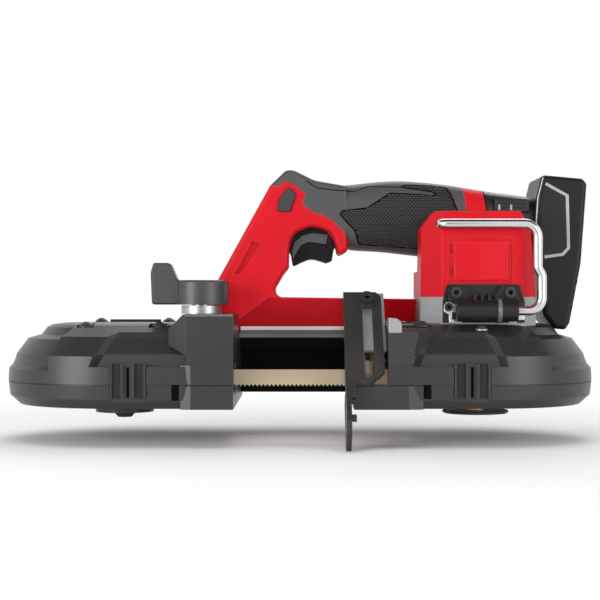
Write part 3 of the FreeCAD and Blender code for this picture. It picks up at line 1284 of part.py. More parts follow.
# Trigger, its spring, switch and lock button
trigger_corners = [
    (1.6, 66.4, 1.0),
    (0.2, 74.0, 3),
    (-1.8, 78.0, 3),
    (-1.8, 87.0, 4),
    (3.0, 92.3, 3),
    (24.6, 92.3, 3),
    (29.4, 87.0, 4),
    (29.4, 81.0, 2),
    (27.2, 76.6, 4),
    (26.2, 70.0, 1.5),
    (22.6, 68.6, 2),
    (13.0, 71.6, 10),
    (5.6, 68.4, 4),
]
trigger = rounded_slab(trigger_corners, HANDLE_Y - TRIGGER_HALF, HANDLE_Y + TRIGGER_HALF)
SWITCH_LOW = 97.6
trigger_top = 88.9
trigger = trigger.cut(post(14.0, HANDLE_Y, 4.4, trigger_top, 100))
plunger = post(14.0, HANDLE_Y, 1.8, 86, SWITCH_LOW + 1.5)
keep("trigger", joined([trigger, plunger]))
switch = box(6.0, 31.0, near_side + SHELL_WALL, far_side - SHELL_WALL, SWITCH_LOW, 109.0)
switch = switch.cut(post(14.0, HANDLE_Y, 1.8 + SLIDE, SWITCH_LOW - 1, SWITCH_LOW + TRIGGER_TRAVEL + 3))
keep("switch_module", switch)
spring_foot = vec(14.0, HANDLE_Y, trigger_top + 0.5)
keep("trigger_spring", coil(spring_foot, AXIS_Z, 3.2, 0.4, SWITCH_LOW - trigger_top - 1.0, 5))
LOCK_TRAVEL = 3.0
keep("lock_button", lock_prism(0, near_side - 2.0, far_side - 1.2))

# Control board on the far wall of the bar
board_back = far_side - SHELL_WALL
board = box(0, 50, board_back - 1.6, board_back, DECK_TOP + 6, BAR_TOP - 6)
chips = [box(6, 18, board_back - 4.6, board_back - 1.6, DECK_TOP + 8, BAR_TOP - 8)]
for i in range(3):
    chips.append(rod(2.6, vec(25 + 7 * i, board_back - 5.5, 36), vec(25 + 7 * i, board_back - 1.6, 36)))
board_holes = [rod(4.0, vec(x, 0, z), vec(x, 200, z)) for x, z in columns]
keep("control_board", joined([board] + chips).cut(board_holes))

# Battery: stem in the grip, neck behind the ring, pack at the end
stem_middle = (114.6 + 69.0) / 2
anchor = vec(RING_END, HANDLE_Y, stem_middle)


def along_slide(shape):
    shape.rotate(anchor, AXIS_Y, BATTERY_SLOPE)
    return shape


stem_start = RING_END - STEM_LENGTH
stem_wire = soft_section(stem_start, stem_middle + 16.0, stem_middle - 16.0, 12.4, 2.7)
stem = along_slide(Part.Face(stem_wire).extrude(vec(STEM_LENGTH + 20, 0, 0)))
TERMINAL_X = stem_start - 9.0
terminal_wire = soft_section(TERMINAL_X, 115.2, 80.8, HANDLE_HALF - SHELL_WALL - 0.3, 2.7)
terminal = Part.Face(terminal_wire).extrude(vec(4.0, 0, 0)).common(grip_form(SHELL_WALL + 0.1))
blades = []
pockets = []
for side in (-1, 0, 1):
    y = HANDLE_Y + side * 6
    blades.append(box(TERMINAL_X + 3, TERMINAL_X + 17, y - 0.4, y + 0.4, 93, 101))
    pocket = box(stem_start - 1, stem_start + 13, y - 1.2, y + 1.2, stem_middle - 9, stem_middle + 9)
    pockets.append(along_slide(pocket))
keep("battery_terminal", joined([terminal] + blades))
neck = grip.cut(ring_side(LOOSE)).common(box(RING_END - 22, PACK_X, 0, 200, 50, 130))
latch_x0 = RING_END + 5.5
latch_x1 = RING_END + 27.0
latch_z0 = 100.6
latch_z1 = 108.4
LATCH_TRAVEL = 2.0
pocket_depth = 8.0
battery_stem = joined([stem.cut(pockets), neck]).cut(box(PACK_X, PACK_X + 140, 0, 200, 0, 200))
for side in (-1, 1):
    face_y = HANDLE_Y + side * (HANDLE_HALF + 5)
    floor_y = HANDLE_Y + side * (HANDLE_HALF - pocket_depth)
    y0 = min(face_y, floor_y)
    y1 = max(face_y, floor_y)
    latch_pocket = box(latch_x0 - FREE, latch_x1 + FREE, y0, y1, latch_z0 - FREE, latch_z1 + FREE)
    battery_stem = battery_stem.cut(latch_pocket)
keep("battery_stem", battery_stem)
pack_corners = [
    (PACK_X + 1.3, 123.1, 3),
    (PACK_X + 26.7, 120.8, 4),
    (PACK_X + 29.4, 117.5, 3),
    (PACK_X + 25.7, 68.0, 20),
    (PACK_X + 18.7, 31.1, 6),
    (PACK_X + 16.0, 27.2, 2),
    (PACK_X + 9.6, 27.6, 3),
    (PACK_X + 2.4, 36.0, 4),
    (PACK_X - 0.4, 66.0, 10),
    (PACK_X - 3.7, 84.0, 8),
    (PACK_X - 2.1, 108.8, 6),
]
pack = rounded_slab(pack_corners, HANDLE_Y - BATTERY_HALF, HANDLE_Y + BATTERY_HALF)
pack_rims = edges_at_y(pack, HANDLE_Y - BATTERY_HALF) + edges_at_y(pack, HANDLE_Y + BATTERY_HALF)
pack = pack.makeFillet(3.0, pack_rims)
neck_block = joined([stem, neck]).common(box(-100, PACK_X, 0, 200, 0, 200))
pack = pack.cut(neck_block)
keep("battery_pack", pack)
for side, name in ((-1, "near"), (1, "far")):
    outer_y = HANDLE_Y + side * (HANDLE_HALF + 0.6)
    inner_y = HANDLE_Y + side * (HANDLE_HALF - pocket_depth + LATCH_TRAVEL + LOOSE)
    latch = box(latch_x0, latch_x1, min(outer_y, inner_y), max(outer_y, inner_y), latch_z0, latch_z1)
    for i in range(3):
        z = latch_z0 + 2.2 + 2.3 * i
        y0 = min(outer_y - side * 0.7, outer_y + side)
        y1 = max(outer_y - side * 0.7, outer_y + side)
        latch = latch.cut(box(latch_x0 + 2, latch_x1 - 2, y0, y1, z - 0.5, z + 0.5))
    keep("battery_latch_" + name, latch)

# Hang hook: bent wire turning in a moulded bracket held by a steel plate
BARREL_LEFT = BLOCK_LEFT + 19.7
BARREL_RIGHT = BLOCK_RIGHT - 13.7
bend = 8.0
path = [
    vec(BARREL_LEFT + 2, HOOK_Y, HOOK_Z),
    vec(HOOK_RIGHT + 1.2, HOOK_Y, HOOK_Z),
    vec(HOOK_RIGHT + 1.2, HOOK_Y, HOOK_Z + 21),
    vec(HOOK_RIGHT - 1.2, HOOK_Y, HOOK_Z + 25),
    vec(HOOK_RIGHT - 1.2, HOOK_Y, HOOK_TOP),
    vec(HOOK_LEFT, HOOK_Y, HOOK_TOP),
    vec(HOOK_LEFT, HOOK_Y + 6.5, HOOK_TOP),
]


def bent_wire(points, radii, radius):
    """Round wire along straight runs joined by bends."""
    edges = []
    start = points[0]
    for i in range(1, len(points) - 1):
        here = points[i]
        before = points[i - 1].sub(here)
        after = points[i + 1].sub(here)
        half = before.getAngle(after) / 2
        reach = radii[i - 1] / math.tan(half)
        before.normalize()
        after.normalize()
        middle = before.add(after)
        middle.normalize()
        depth = radii[i - 1] / math.sin(half) - radii[i - 1]
        first = here + before * reach
        last = here + after * reach
        edges.append(Part.LineSegment(start, first).toShape())
        edges.append(Part.Arc(first, here + middle * depth, last).toShape())
        start = last
    edges.append(Part.LineSegment(start, points[-1]).toShape())
    spine = Part.Wire(edges)
    section = Part.Wire(Part.makeCircle(radius, points[0], points[1].sub(points[0])))
    return spine.makePipeShell([section], True, False)


keep("hook", bent_wire(path, [bend, 5.0, 5.0, bend, 4.0], HOOK_WIRE))
PLATE_THICK = 1.6
plate_front = BLOCK_FRONT - PLATE_THICK
barrel = rod(6.6, vec(BARREL_LEFT, HOOK_Y, HOOK_Z), vec(BARREL_RIGHT, HOOK_Y, HOOK_Z))
barrel_ring = rod(7.2, vec(BARREL_RIGHT - 13, HOOK_Y, HOOK_Z), vec(BARREL_RIGHT - 9.5, HOOK_Y, HOOK_Z))
web = box(BARREL_LEFT + 4, BARREL_RIGHT - 4, HOOK_Y, plate_front, HOOK_Z - 5, HOOK_Z + 7)
ears = prism_xz([
    (BARREL_LEFT - 4.5, CASE_TOP - 4),
    (BARREL_LEFT - 4.5, CASE_TOP + 5),
    (BARREL_LEFT - 2, CASE_TOP + 7),
    (BARREL_LEFT + 5, CASE_TOP + 7),
    (BARREL_LEFT + 8, CASE_TOP + 2),
    (BARREL_RIGHT - 12, CASE_TOP + 2),
    (BARREL_RIGHT - 9, CASE_TOP + 7),
    (BARREL_RIGHT - 1.5, CASE_TOP + 7),
    (BARREL_RIGHT + 1.5, CASE_TOP + 5),
    (BARREL_RIGHT + 1.5, CASE_TOP - 4),
], plate_front - 3.0, plate_front)
bracket = joined([barrel, barrel_ring, web, ears])
ribs = []
for i in range(4):
    x = BARREL_LEFT + 10.5 + 4.2 * i
    ribs.append(box(x - 0.8, x + 0.8, HOOK_Y - 3, plate_front - 2, HOOK_Z + 3, CASE_TOP + 1.4))
bracket = joined([bracket] + ribs)
bore_start = vec(BARREL_LEFT - 10, HOOK_Y, HOOK_Z)
hook_bore = rod(HOOK_WIRE + RUN, bore_start, vec(BARREL_RIGHT + 10, HOOK_Y, HOOK_Z))
bracket = bracket.cut(hook_bore)
hook_plate = prism_xz([
    (BARREL_LEFT - 7.5, GUARD_TOP + 0.5),
    (BARREL_LEFT - 7.5, CASE_TOP - 2.5),
    (BARREL_LEFT - 5.0, CASE_TOP + 7.6),
    (BARREL_RIGHT + 2.0, CASE_TOP + 7.6),
    (BARREL_RIGHT + 5.4, CASE_TOP - 2.5),
    (BARREL_RIGHT + 5.4, GUARD_TOP + 0.5),
], plate_front, BLOCK_FRONT)
for x, z in high_spots:
    bracket = bracket.cut(rod(1.6, vec(x, -50, z), vec(x, 50, z)))
    hook_plate = hook_plate.cut(rod(1.6, vec(x, -50, z), vec(x, 50, z)))
    stem = rod(1.6, vec(x, plate_front - 3.0, z), vec(x, BLOCK_FRONT + 2.5, z))
    screw_list.append(joined([stem, rod(3.2, vec(x, plate_front - 4.8, z), vec(x, plate_front - 3.0, z))]))
for x, z in low_spots:
    hook_plate = hook_plate.cut(rod(1.6, vec(x, -50, z), vec(x, 50, z)))
    stem = rod(1.6, vec(x, plate_front, z), vec(x, BLOCK_FRONT + 2.5, z))
    screw_list.append(joined([stem, rod(2.6, vec(x, plate_front - 1.5, z), vec(x, plate_front, z))]))
for x, z in low_spots:
    bracket = bracket.cut(rod(2.6 + FREE, vec(x, -50, z), vec(x, plate_front, z)))
keep("hook_bracket", bracket)
keep("hook_plate", hook_plate)
keep("screws", Part.makeCompound(screw_list))
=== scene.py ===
import json
import math
import bmesh
import bpy
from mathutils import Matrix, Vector
from mathutils.bvhtree import BVHTree
from mathutils.geometry import delaunay_2d_cdt


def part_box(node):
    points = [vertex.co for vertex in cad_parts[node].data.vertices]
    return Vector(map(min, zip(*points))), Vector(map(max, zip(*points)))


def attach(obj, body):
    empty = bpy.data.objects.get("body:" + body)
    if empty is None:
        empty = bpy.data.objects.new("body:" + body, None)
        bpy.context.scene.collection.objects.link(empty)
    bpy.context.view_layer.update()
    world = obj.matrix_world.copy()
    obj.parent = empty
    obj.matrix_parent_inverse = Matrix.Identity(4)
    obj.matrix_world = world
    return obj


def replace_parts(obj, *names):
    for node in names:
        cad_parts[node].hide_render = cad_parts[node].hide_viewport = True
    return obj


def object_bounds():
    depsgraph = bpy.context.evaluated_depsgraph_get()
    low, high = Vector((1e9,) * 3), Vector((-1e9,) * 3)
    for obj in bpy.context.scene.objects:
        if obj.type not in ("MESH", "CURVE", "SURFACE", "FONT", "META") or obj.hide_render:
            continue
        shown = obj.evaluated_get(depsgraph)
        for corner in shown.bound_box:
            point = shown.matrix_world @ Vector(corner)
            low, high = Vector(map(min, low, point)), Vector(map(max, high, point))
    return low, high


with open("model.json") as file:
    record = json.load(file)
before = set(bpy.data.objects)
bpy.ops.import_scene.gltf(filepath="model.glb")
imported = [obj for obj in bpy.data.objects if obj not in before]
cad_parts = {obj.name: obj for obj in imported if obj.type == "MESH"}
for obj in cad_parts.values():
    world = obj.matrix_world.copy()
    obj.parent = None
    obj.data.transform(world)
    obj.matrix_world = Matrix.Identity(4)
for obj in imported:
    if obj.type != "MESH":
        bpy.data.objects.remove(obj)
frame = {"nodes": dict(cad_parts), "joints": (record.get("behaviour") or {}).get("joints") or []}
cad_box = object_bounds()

# Studio: a pale floor under the saw, a white surround and large soft lamps.
# The camera stands square to the open side of the saw, level with the bar.
# Two dark flags, overhead and behind the camera, show only in reflections and shade slopes and metal.
MM = 0.001
VIEW_FROM = Vector((6.14, -850, 45.5)) * MM
SENSOR = 36.0
LENS = 87.18
scene = bpy.context.scene
scene.view_settings.view_transform = "Standard"
lens = bpy.data.cameras.new("studio_camera")
lens.sensor_width = SENSOR
lens.lens = LENS
camera = bpy.data.objects.new("studio_camera", lens)
camera.location = VIEW_FROM
camera.rotation_euler = (math.pi / 2, 0, 0)
scene.collection.objects.link(camera)
scene.camera = camera

# Each lamp: name, place, size, power, and whether it shows in reflections
LAMP_AIM = Vector((0, 0.04, 0.03))
lamps = [
    ("lamp_left", (-1.0, -0.95, 0.24), 0.8, 11.0, True),
    ("lamp_right", (1.0, -1.0, 0.24), 0.8, 6.0, True),
    ("lamp_front", (0.05, -1.2, 0.08), 0.24, 7.0, False),
    ("lamp_back", (0.2, 1.1, 1.2), 1.0, 6.0, True),
    ("lamp_over", (0.0, -0.15, 1.3), 1.0, 5.0, False),
]
for name, place, size, power, reflected in lamps:
    lamp = bpy.data.lights.new(name, "AREA")
    lamp.shape = "DISK"
    lamp.size = size
    lamp.energy = power
    obj = bpy.data.objects.new(name, lamp)
    obj.location = place
    obj.rotation_euler = (LAMP_AIM - Vector(place)).to_track_quat("-Z", "Y").to_euler()
    obj.visible_glossy = reflected
    scene.collection.objects.link(obj)


def add_node(tree, kind, values=(), **settings):
    """A shader node with its settings and the values of its sockets."""
    node = tree.nodes.new("ShaderNode" + kind)
    for name, value in settings.items():
        setattr(node, name, value)
    for socket, value in dict(values).items():
        node.inputs[socket].default_value = value
    return node


# The surround is white to the camera and in reflections, and a softer fill for all other light
FILL_LEVEL = 0.42
WHITE_LEVEL = 1.0
world = bpy.data.worlds.new("white_surround")
scene.world = world
world.use_nodes = True
tree = world.node_tree
link = tree.links.new
surround = tree.nodes["Background"]
surround.inputs["Color"].default_value = (1, 1, 1, 1)
rays = add_node(tree, "LightPath")
seen = add_node(tree, "Math", operation="MAXIMUM")
seen_or_mirrored = add_node(tree, "Math", operation="MAXIMUM")
level = add_node(tree, "MapRange", {"To Min": FILL_LEVEL, "To Max": WHITE_LEVEL})
link(rays.outputs["Is Camera Ray"], seen.inputs[0])
link(rays.outputs["Is Transmission Ray"], seen.inputs[1])
link(seen.outputs[0], seen_or_mirrored.inputs[0])
link(rays.outputs["Is Glossy Ray"], seen_or_mirrored.inputs[1])
link(seen_or_mirrored.outputs[0], level.inputs["Value"])
link(level.outputs["Result"], surround.inputs["Strength"])


def stage_sheet(name, corners, paint):
    """A flat painted sheet of the studio: its object and its material's nodes."""
    mesh = bpy.data.meshes.new(name)
    mesh.from_pydata(corners, [], [(0, 1, 2, 3)])
    material = bpy.data.materials.new(name + "_paint")
    material.use_nodes = True
    material.node_tree.nodes["Principled BSDF"].inputs["Base Color"].default_value = paint
    mesh.materials.append(material)
    obj = bpy.data.objects.new(name, mesh)
    scene.collection.objects.link(obj)
    return obj, material.node_tree


# The floor fades out round the saw, so that it melts into the white surround
FLOOR_REACH = 3.0
FLOOR_GAP = 0.4
FLOOR_PAINT = (0.95, 0.95, 0.95, 1)
FLOOR_ROUGHNESS = 0.9
FADE_START = 0.16
FADE_END = 0.5
floor_z = cad_box[0][2] - FLOOR_GAP * MM
corners = [(x * FLOOR_REACH, y * FLOOR_REACH, floor_z) for x, y in ((-1, -1), (1, -1), (1, 1), (-1, 1))]
tree = stage_sheet("floor", corners, FLOOR_PAINT)[1]
link = tree.links.new
paint = tree.nodes["Principled BSDF"]
paint.inputs["Roughness"].default_value = FLOOR_ROUGHNESS
coords = add_node(tree, "TexCoord")
away = add_node(tree, "VectorMath", operation="LENGTH")
fade = add_node(
    tree, "MapRange", {"From Min": FADE_START, "From Max": FADE_END}, interpolation_type="SMOOTHSTEP"
)
clear = add_node(tree, "BsdfTransparent")
blend = add_node(tree, "MixShader")
link(coords.outputs["Object"], away.inputs[0])
link(away.outputs["Value"], fade.inputs["Value"])
link(fade.outputs["Result"], blend.inputs["Fac"])
link(paint.outputs["BSDF"], blend.inputs[1])
link(clear.outputs["BSDF"], blend.inputs[2])
link(blend.outputs["Shader"], tree.nodes["Material Output"].inputs["Surface"])

FLAG_PAINT = (0.05, 0.05, 0.05, 1)
flags = {
    "flag_over": [(-1.2, -0.8, 1.0), (1.2, -0.8, 1.0), (1.2, 0.6, 1.0), (-1.2, 0.6, 1.0)],
    "flag_front": [(-0.2, -1.6, -0.3), (0.2, -1.6, -0.3), (0.2, -1.6, 0.4), (-0.2, -1.6, 0.4)],
}
for name, corners in flags.items():
    flag = stage_sheet(name, corners, FLAG_PAINT)[0]
    flag.visible_camera = False
    flag.visible_diffuse = False
    flag.visible_transmission = False
    flag.visible_shadow = False

# Frame casting and gear case: die-cast aluminium, tumbled, with machined seats.
# The deck carries both wheels, the beam closes the frame behind the throat.
nodes = frame["nodes"]


def shader_group(name, takes, gives):
    """A node group with named sockets, and its input and output nodes."""
    group = bpy.data.node_groups.new(name, "ShaderNodeTree")
    for way, sockets in (("INPUT", takes), ("OUTPUT", gives)):
        for socket, kind in sockets.items():
            group.interface.new_socket(socket, in_out=way, socket_type="NodeSocket" + kind)
    return group, group.nodes.new("NodeGroupInput"), group.nodes.new("NodeGroupOutput")


# Light on an edge: a rounded normal, and a mask that rises along edges, patched by a noise; the mask paints
# edges lighter, as scuffing and as a painted highlight
RUB_SCALE = 220.0
FLAT_TURN = 0.985
EDGE_TURN = 0.80
edge_group, edge_in, edge_out = shader_group(
    "worn_and_lit_edge", {"Radius": "Float", "Wear and highlight": "Float"}, {"Normal": "Vector", "Mask": "Float"}
)
link = edge_group.links.new
rounding = add_node(edge_group, "Bevel", samples=4)
flat = add_node(edge_group, "NewGeometry")
turn = add_node(edge_group, "VectorMath", operation="DOT_PRODUCT")
wear_highlight_band = add_node(edge_group, "MapRange", {"From Min": FLAT_TURN, "From Max": EDGE_TURN})
coords = add_node(edge_group, "TexCoord")
rub = add_node(edge_group, "TexNoise", {"Scale": RUB_SCALE, "Detail": 3.0})
patchy = add_node(edge_group, "Math", operation="MULTIPLY")
wear_highlight = add_node(edge_group, "Math", operation="MULTIPLY")
link(edge_in.outputs["Radius"], rounding.inputs["Radius"])
link(rounding.outputs["Normal"], turn.inputs[0])
link(flat.outputs["Normal"], turn.inputs[1])
link(turn.outputs["Value"], wear_highlight_band.inputs["Value"])
link(coords.outputs["Object"], rub.inputs["Vector"])
link(wear_highlight_band.outputs["Result"], patchy.inputs[0])
link(rub.outputs["Fac"], patchy.inputs[1])
link(patchy.outputs[0], wear_highlight.inputs[0])
link(edge_in.outputs["Wear and highlight"], wear_highlight.inputs[1])
link(rounding.outputs["Normal"], edge_out.inputs["Normal"])
link(wear_highlight.outputs[0], edge_out.inputs["Mask"])

# Surface of a moulding or casting: cloudy tone, uneven gloss and a fine grain
CLOUD_SCALE = 28.0
skin_group, skin_in, skin_out = shader_group(
    "cast_skin",
    {"Colour": "Color", "Edge colour": "Color", "Edge": "Float",
     "Roughness": "Float", "Grain": "Float", "Cloud": "Float"},
    {"Colour": "Color", "Roughness": "Float", "Height": "Float"},
)
link = skin_group.links.new
coords = add_node(skin_group, "TexCoord")
cloud = add_node(skin_group, "TexNoise", {"Scale": CLOUD_SCALE, "Detail": 4.0})
grain = add_node(skin_group, "TexNoise", {"Detail": 2.0})
swing = add_node(skin_group, "MapRange", {"From Min": 0.3, "From Max": 0.7, "To Min": -1.0, "To Max": 1.0})
drift = add_node(skin_group, "Math", {2: 1.0}, operation="MULTIPLY_ADD")
toned = add_node(skin_group, "VectorMath", operation="SCALE")
rubbed_and_lit = add_node(skin_group, "Mix", data_type="RGBA")
gloss = add_node(skin_group, "Math", operation="MULTIPLY")
link(coords.outputs["Object"], cloud.inputs["Vector"])
link(coords.outputs["Object"], grain.inputs["Vector"])
link(skin_in.outputs["Grain"], grain.inputs["Scale"])
link(cloud.outputs["Fac"], swing.inputs["Value"])
link(swing.outputs["Result"], drift.inputs[0])
link(skin_in.outputs["Cloud"], drift.inputs[1])
link(skin_in.outputs["Colour"], toned.inputs[0])
link(drift.outputs[0], toned.inputs["Scale"])
# The edge mask mixes the lighter edge colour in: scuffing and a painted highlight along edges
link(skin_in.outputs["Edge"], rubbed_and_lit.inputs["Factor"])
link(toned.outputs["Vector"], rubbed_and_lit.inputs["A"])
link(skin_in.outputs["Edge colour"], rubbed_and_lit.inputs["B"])
link(skin_in.outputs["Roughness"], gloss.inputs[0])
link(drift.outputs[0], gloss.inputs[1])
link(rubbed_and_lit.outputs["Result"], skin_out.inputs["Colour"])
link(gloss.outputs[0], skin_out.inputs["Roughness"])
link(grain.outputs["Fac"], skin_out.inputs["Height"])

WEAR_HIGHLIGHT_GAIN = 1.6
WEAR_HIGHLIGHT_LIFT = 0.02


def skin(name, colour, roughness, grain=900.0, depth=0.04, cloud=0.06, edge=None, wear_and_highlight=0.5,
         radius=0.4, metallic=0.0, shine=0.5):
    """Material of one moulded, cast or machined finish; depth and radius are in millimetres."""
    material = bpy.data.materials.new(name)
    material.use_nodes = True
    tree = material.node_tree
    link = tree.links.new
    shader = tree.nodes["Principled BSDF"]
    shader.inputs["Metallic"].default_value = metallic
    shader.inputs["Specular IOR Level"].default_value = shine
    # Edges default to a lighter copy of the colour: a painted highlight along them as well as scuffing
    edge = edge or [min(1, c * WEAR_HIGHLIGHT_GAIN + WEAR_HIGHLIGHT_LIFT) for c in colour]
    edges = add_node(tree, "Group", node_tree=edge_group)
    edges.inputs["Radius"].default_value = radius * MM
    edges.inputs["Wear and highlight"].default_value = wear_and_highlight
    body = add_node(tree, "Group", node_tree=skin_group)
    body.inputs["Colour"].default_value = (*colour, 1)
    body.inputs["Edge colour"].default_value = (*edge, 1)
    body.inputs["Roughness"].default_value = roughness
    body.inputs["Grain"].default_value = grain
    body.inputs["Cloud"].default_value = cloud
    relief = add_node(tree, "Bump", {"Strength": 1.0, "Distance": depth * MM})
    link(edges.outputs["Mask"], body.inputs["Edge"])
    link(body.outputs["Colour"], shader.inputs["Base Color"])
    link(body.outputs["Roughness"], shader.inputs["Roughness"])
    link(body.outputs["Height"], relief.inputs["Height"])
    link(edges.outputs["Normal"], relief.inputs["Normal"])
    link(relief.outputs["Normal"], shader.inputs["Normal"])
    return material


def dress(material, *names):
    """Gives one finish to nodes of the frame."""
    for name in names:
        mesh = nodes[name].data
        mesh.materials.clear()
        mesh.materials.append(material)


cast_aluminium = skin("cast_aluminium", (0.29, 0.29, 0.295), 0.45, grain=700, depth=0.03, cloud=0.08,
                      metallic=0.35)
dress(cast_aluminium, "main_frame", "gear_case")

# Gear train and motor: ground steel shafts and gears, wound stator, sealed ball bearings.
# They run inside the gear case and the motor cover.
bright_steel = skin("bright_steel", (0.52, 0.52, 0.53), 0.3, grain=1500, depth=0.01, metallic=1.0)
dress(bright_steel, "drive_shaft", "output_gear", "compound_gear", "motor_rotor")
dress(bright_steel, "drive_bearings", "motor_bearings")
wound_copper = skin("wound_copper", (0.55, 0.25, 0.10), 0.35, grain=600, depth=0.05, metallic=0.9)
dress(wound_copper, "motor_stator")

# Wheels: a cast aluminium drive wheel and an idler dressed near-black like the retainer, each with a bonded
# rubber tyre.
# A retainer disc and a bronze spacer close the drive wheel below.
# The idler runs on a shouldered bolt in the tension slide.
dress(cast_aluminium, "drive_wheel", "tension_slide")
tyre_rubber = skin("tyre_rubber", (0.014, 0.014, 0.014), 0.7, grain=1200, depth=0.05, shine=0.3)
dress(tyre_rubber, "drive_tyre", "idler_tyre")
bronze = skin("bronze", (0.86, 0.46, 0.26), 0.28, grain=1100, depth=0.02, metallic=0.6)
dress(bronze, "drive_spacer")
blackened_steel = skin("blackened_steel", (0.035, 0.033, 0.032), 0.42, grain=1000, depth=0.02, cloud=0.14,
                       edge=(0.22, 0.22, 0.21), metallic=0.3)
dress(blackened_steel, "drive_retainer", "idler_wheel", "idler_axle", "idler_bearings")

# Blade: one welded band of spring steel with a tan finish and milled teeth all along its lower edge.
# It runs level round both wheels and is twisted to 45 degrees through the throat.
# Its pale edge colour paints glints along the tooth tips as well as ground steel
band_steel = skin("band_steel", (0.56, 0.46, 0.31), 0.40, grain=1600, depth=0.015, cloud=0.08,
                  edge=(0.72, 0.66, 0.55), metallic=0.45, radius=0.1)
BAND_THICK = 0.5
BAND_HALF = 6.35
TOOTH_PITCH = 2.4
TOOTH_DEPTH = 1.4
TILT = math.radians(45)
TWIST_START = 12.0
GUIDE_END = 4.0


def piece(name, shape, material, body, smooth=False):
    """One new mesh, dressed and riding on a body; the shape's points are in millimetres."""
    points, faces = shape
    mesh = bpy.data.meshes.new(name)
    mesh.from_pydata([[c * MM for c in p] for p in points], [], faces)
    work = bmesh.new()
    work.from_mesh(mesh)
    bmesh.ops.recalc_face_normals(work, faces=work.faces)
    for face in work.faces:
        face.smooth = smooth
    work.to_mesh(mesh)
    work.free()
    mesh.materials.append(material)
    obj = bpy.data.objects.new(name, mesh)
    scene.collection.objects.link(obj)
    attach(obj, body)
    return obj


def lofted(rings, closed=False, capped=True):
    """Points and faces of a skin through rings of equally many points."""
    count, sides = len(rings), len(rings[0])
    points = [p for ring in rings for p in ring]
    faces = []
    for row in range(count if closed else count - 1):
        after = (row + 1) % count
        for k in range(sides):
            m = (k + 1) % sides
            faces.append((row * sides + k, row * sides + m, after * sides + m, after * sides + k))
    if capped and not closed:
        faces.append(tuple(range(sides)))
        faces.append(tuple(range((count - 1) * sides, count * sides)))
    return points, faces


def mm(place):
    """A place in the frame, in millimetres."""
    return Vector(place) / MM


def corners_of(node):
    """Lowest and highest corner of a node, in millimetres."""
    return [mm(corner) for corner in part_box(node)]


def smooth_step(x, start, end):
    """Goes from 0 to 1 with a soft start and end."""
    share = min(1, max(0, (x - start) / (end - start)))
    return share * share * (3 - 2 * share)


band_low, band_high = corners_of("blade")
wrap_radius = (band_high.y - BAND_THICK / 2) / 2
idler_x = band_low.x + wrap_radius + BAND_THICK / 2
drive_x = band_high.x - wrap_radius - BAND_THICK / 2
guide_x = [sum(c.x for c in corners_of(end + "_roller_over")) / 2 for end in ("front", "rear")]
straight = drive_x - idler_x
around = 2 * straight + 2 * math.pi * wrap_radius


def band_place(run):
    """Middle of the band, its outward direction and its tilt at a length along the loop."""
    if run < straight:
        x = idler_x + run
        rise = smooth_step(x, idler_x + TWIST_START, guide_x[0] - GUIDE_END)
        fall = smooth_step(x, guide_x[1] + GUIDE_END, drive_x - TWIST_START)
        return Vector((x, 0, 0)), Vector((0, -1, 0)), TILT * (rise - fall)
    run -= straight
    if run < math.pi * wrap_radius:
        turn = run / wrap_radius - math.pi / 2
        out = Vector((math.cos(turn), math.sin(turn), 0))
        return Vector((drive_x, wrap_radius, 0)) + out * wrap_radius, out, 0
    run -= math.pi * wrap_radius
    if run < straight:
        return Vector((drive_x - run, 2 * wrap_radius, 0)), Vector((0, 1, 0)), 0
    turn = (run - straight) / wrap_radius + math.pi / 2
    out = Vector((math.cos(turn), math.sin(turn), 0))
    return Vector((idler_x, wrap_radius, 0)) + out * wrap_radius, out, 0


# A tooth: shares of its pitch along the band, with the depth cut there
tooth_shape = ((0.0, 0.0), (0.12, 0.0), (0.34, TOOTH_DEPTH), (0.55, TOOTH_DEPTH))
tooth_count = round(around / TOOTH_PITCH)
rings = []
for tooth in range(tooth_count):
    for share, depth in tooth_shape:
        middle, out, tilt = band_place((tooth + share) * around / tooth_count)
        lower = depth - BAND_HALF
        ring = []
        for side, height in ((1, BAND_HALF), (1, lower), (-1, lower), (-1, BAND_HALF)):
            thick = side * BAND_THICK / 2
            level_out = thick * math.cos(tilt) - height * math.sin(tilt)
            level_up = thick * math.sin(tilt) + height * math.cos(tilt)
            ring.append(middle + out * level_out + Vector((0, 0, level_up)))
        rings.append(ring)
band = piece("toothed_band", lofted(rings, closed=True), band_steel, "saw_body")
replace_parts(band, "blade")

# Guides: steel brackets with small hardened rollers that pinch and back the blade.
# Each roller turns on a pressed pin in the bracket.
roller_steel = skin("roller_steel", (0.46, 0.40, 0.28), 0.34, grain=1200, depth=0.02, metallic=0.6)
for end in ("front", "rear"):
    dress(roller_steel, end + "_roller_over", end + "_roller_under", end + "_roller_back")
    dress(bright_steel, end + "_guide_bracket")
dress(bright_steel, "pins")

# Shoe: pressed steel plate, black oxide finish, clamped by one button-head screw through its slot.
# The bent flange takes the thrust of the work and forks round the blade.
# The screw has a brighter head with a dark socket, painted shade in its recess, on a black washer.
dress(blackened_steel, "shoe", "shoe_screw")
head_steel = skin("head_steel", (0.34, 0.34, 0.34), 0.28, depth=0.01, metallic=0.7)
# A near-black finish of painted shade, for sockets, slots, notches, seams and the channel behind the throat
painted_shade_black = skin("painted_shade_black", (0.003, 0.003, 0.003), 0.6, grain=1400, shine=0.05)
WASHER_RADIUS = 6.0


def turned(name, profile, start, axis, material, body, sides=24, smooth=True):
    """A round or sided piece from radii and places along an axis."""
    start, axis = Vector(start), Vector(axis)
    across = axis.orthogonal().normalized()
    up = axis.cross(across)
    turns = [2 * math.pi * k / sides for k in range(sides)]
    spokes = [across * math.cos(t) + up * math.sin(t) for t in turns]
    rings = [[start + axis * along + spoke * radius for spoke in spokes] for radius, along in profile]
    return piece(name, lofted(rings), material, body, smooth)


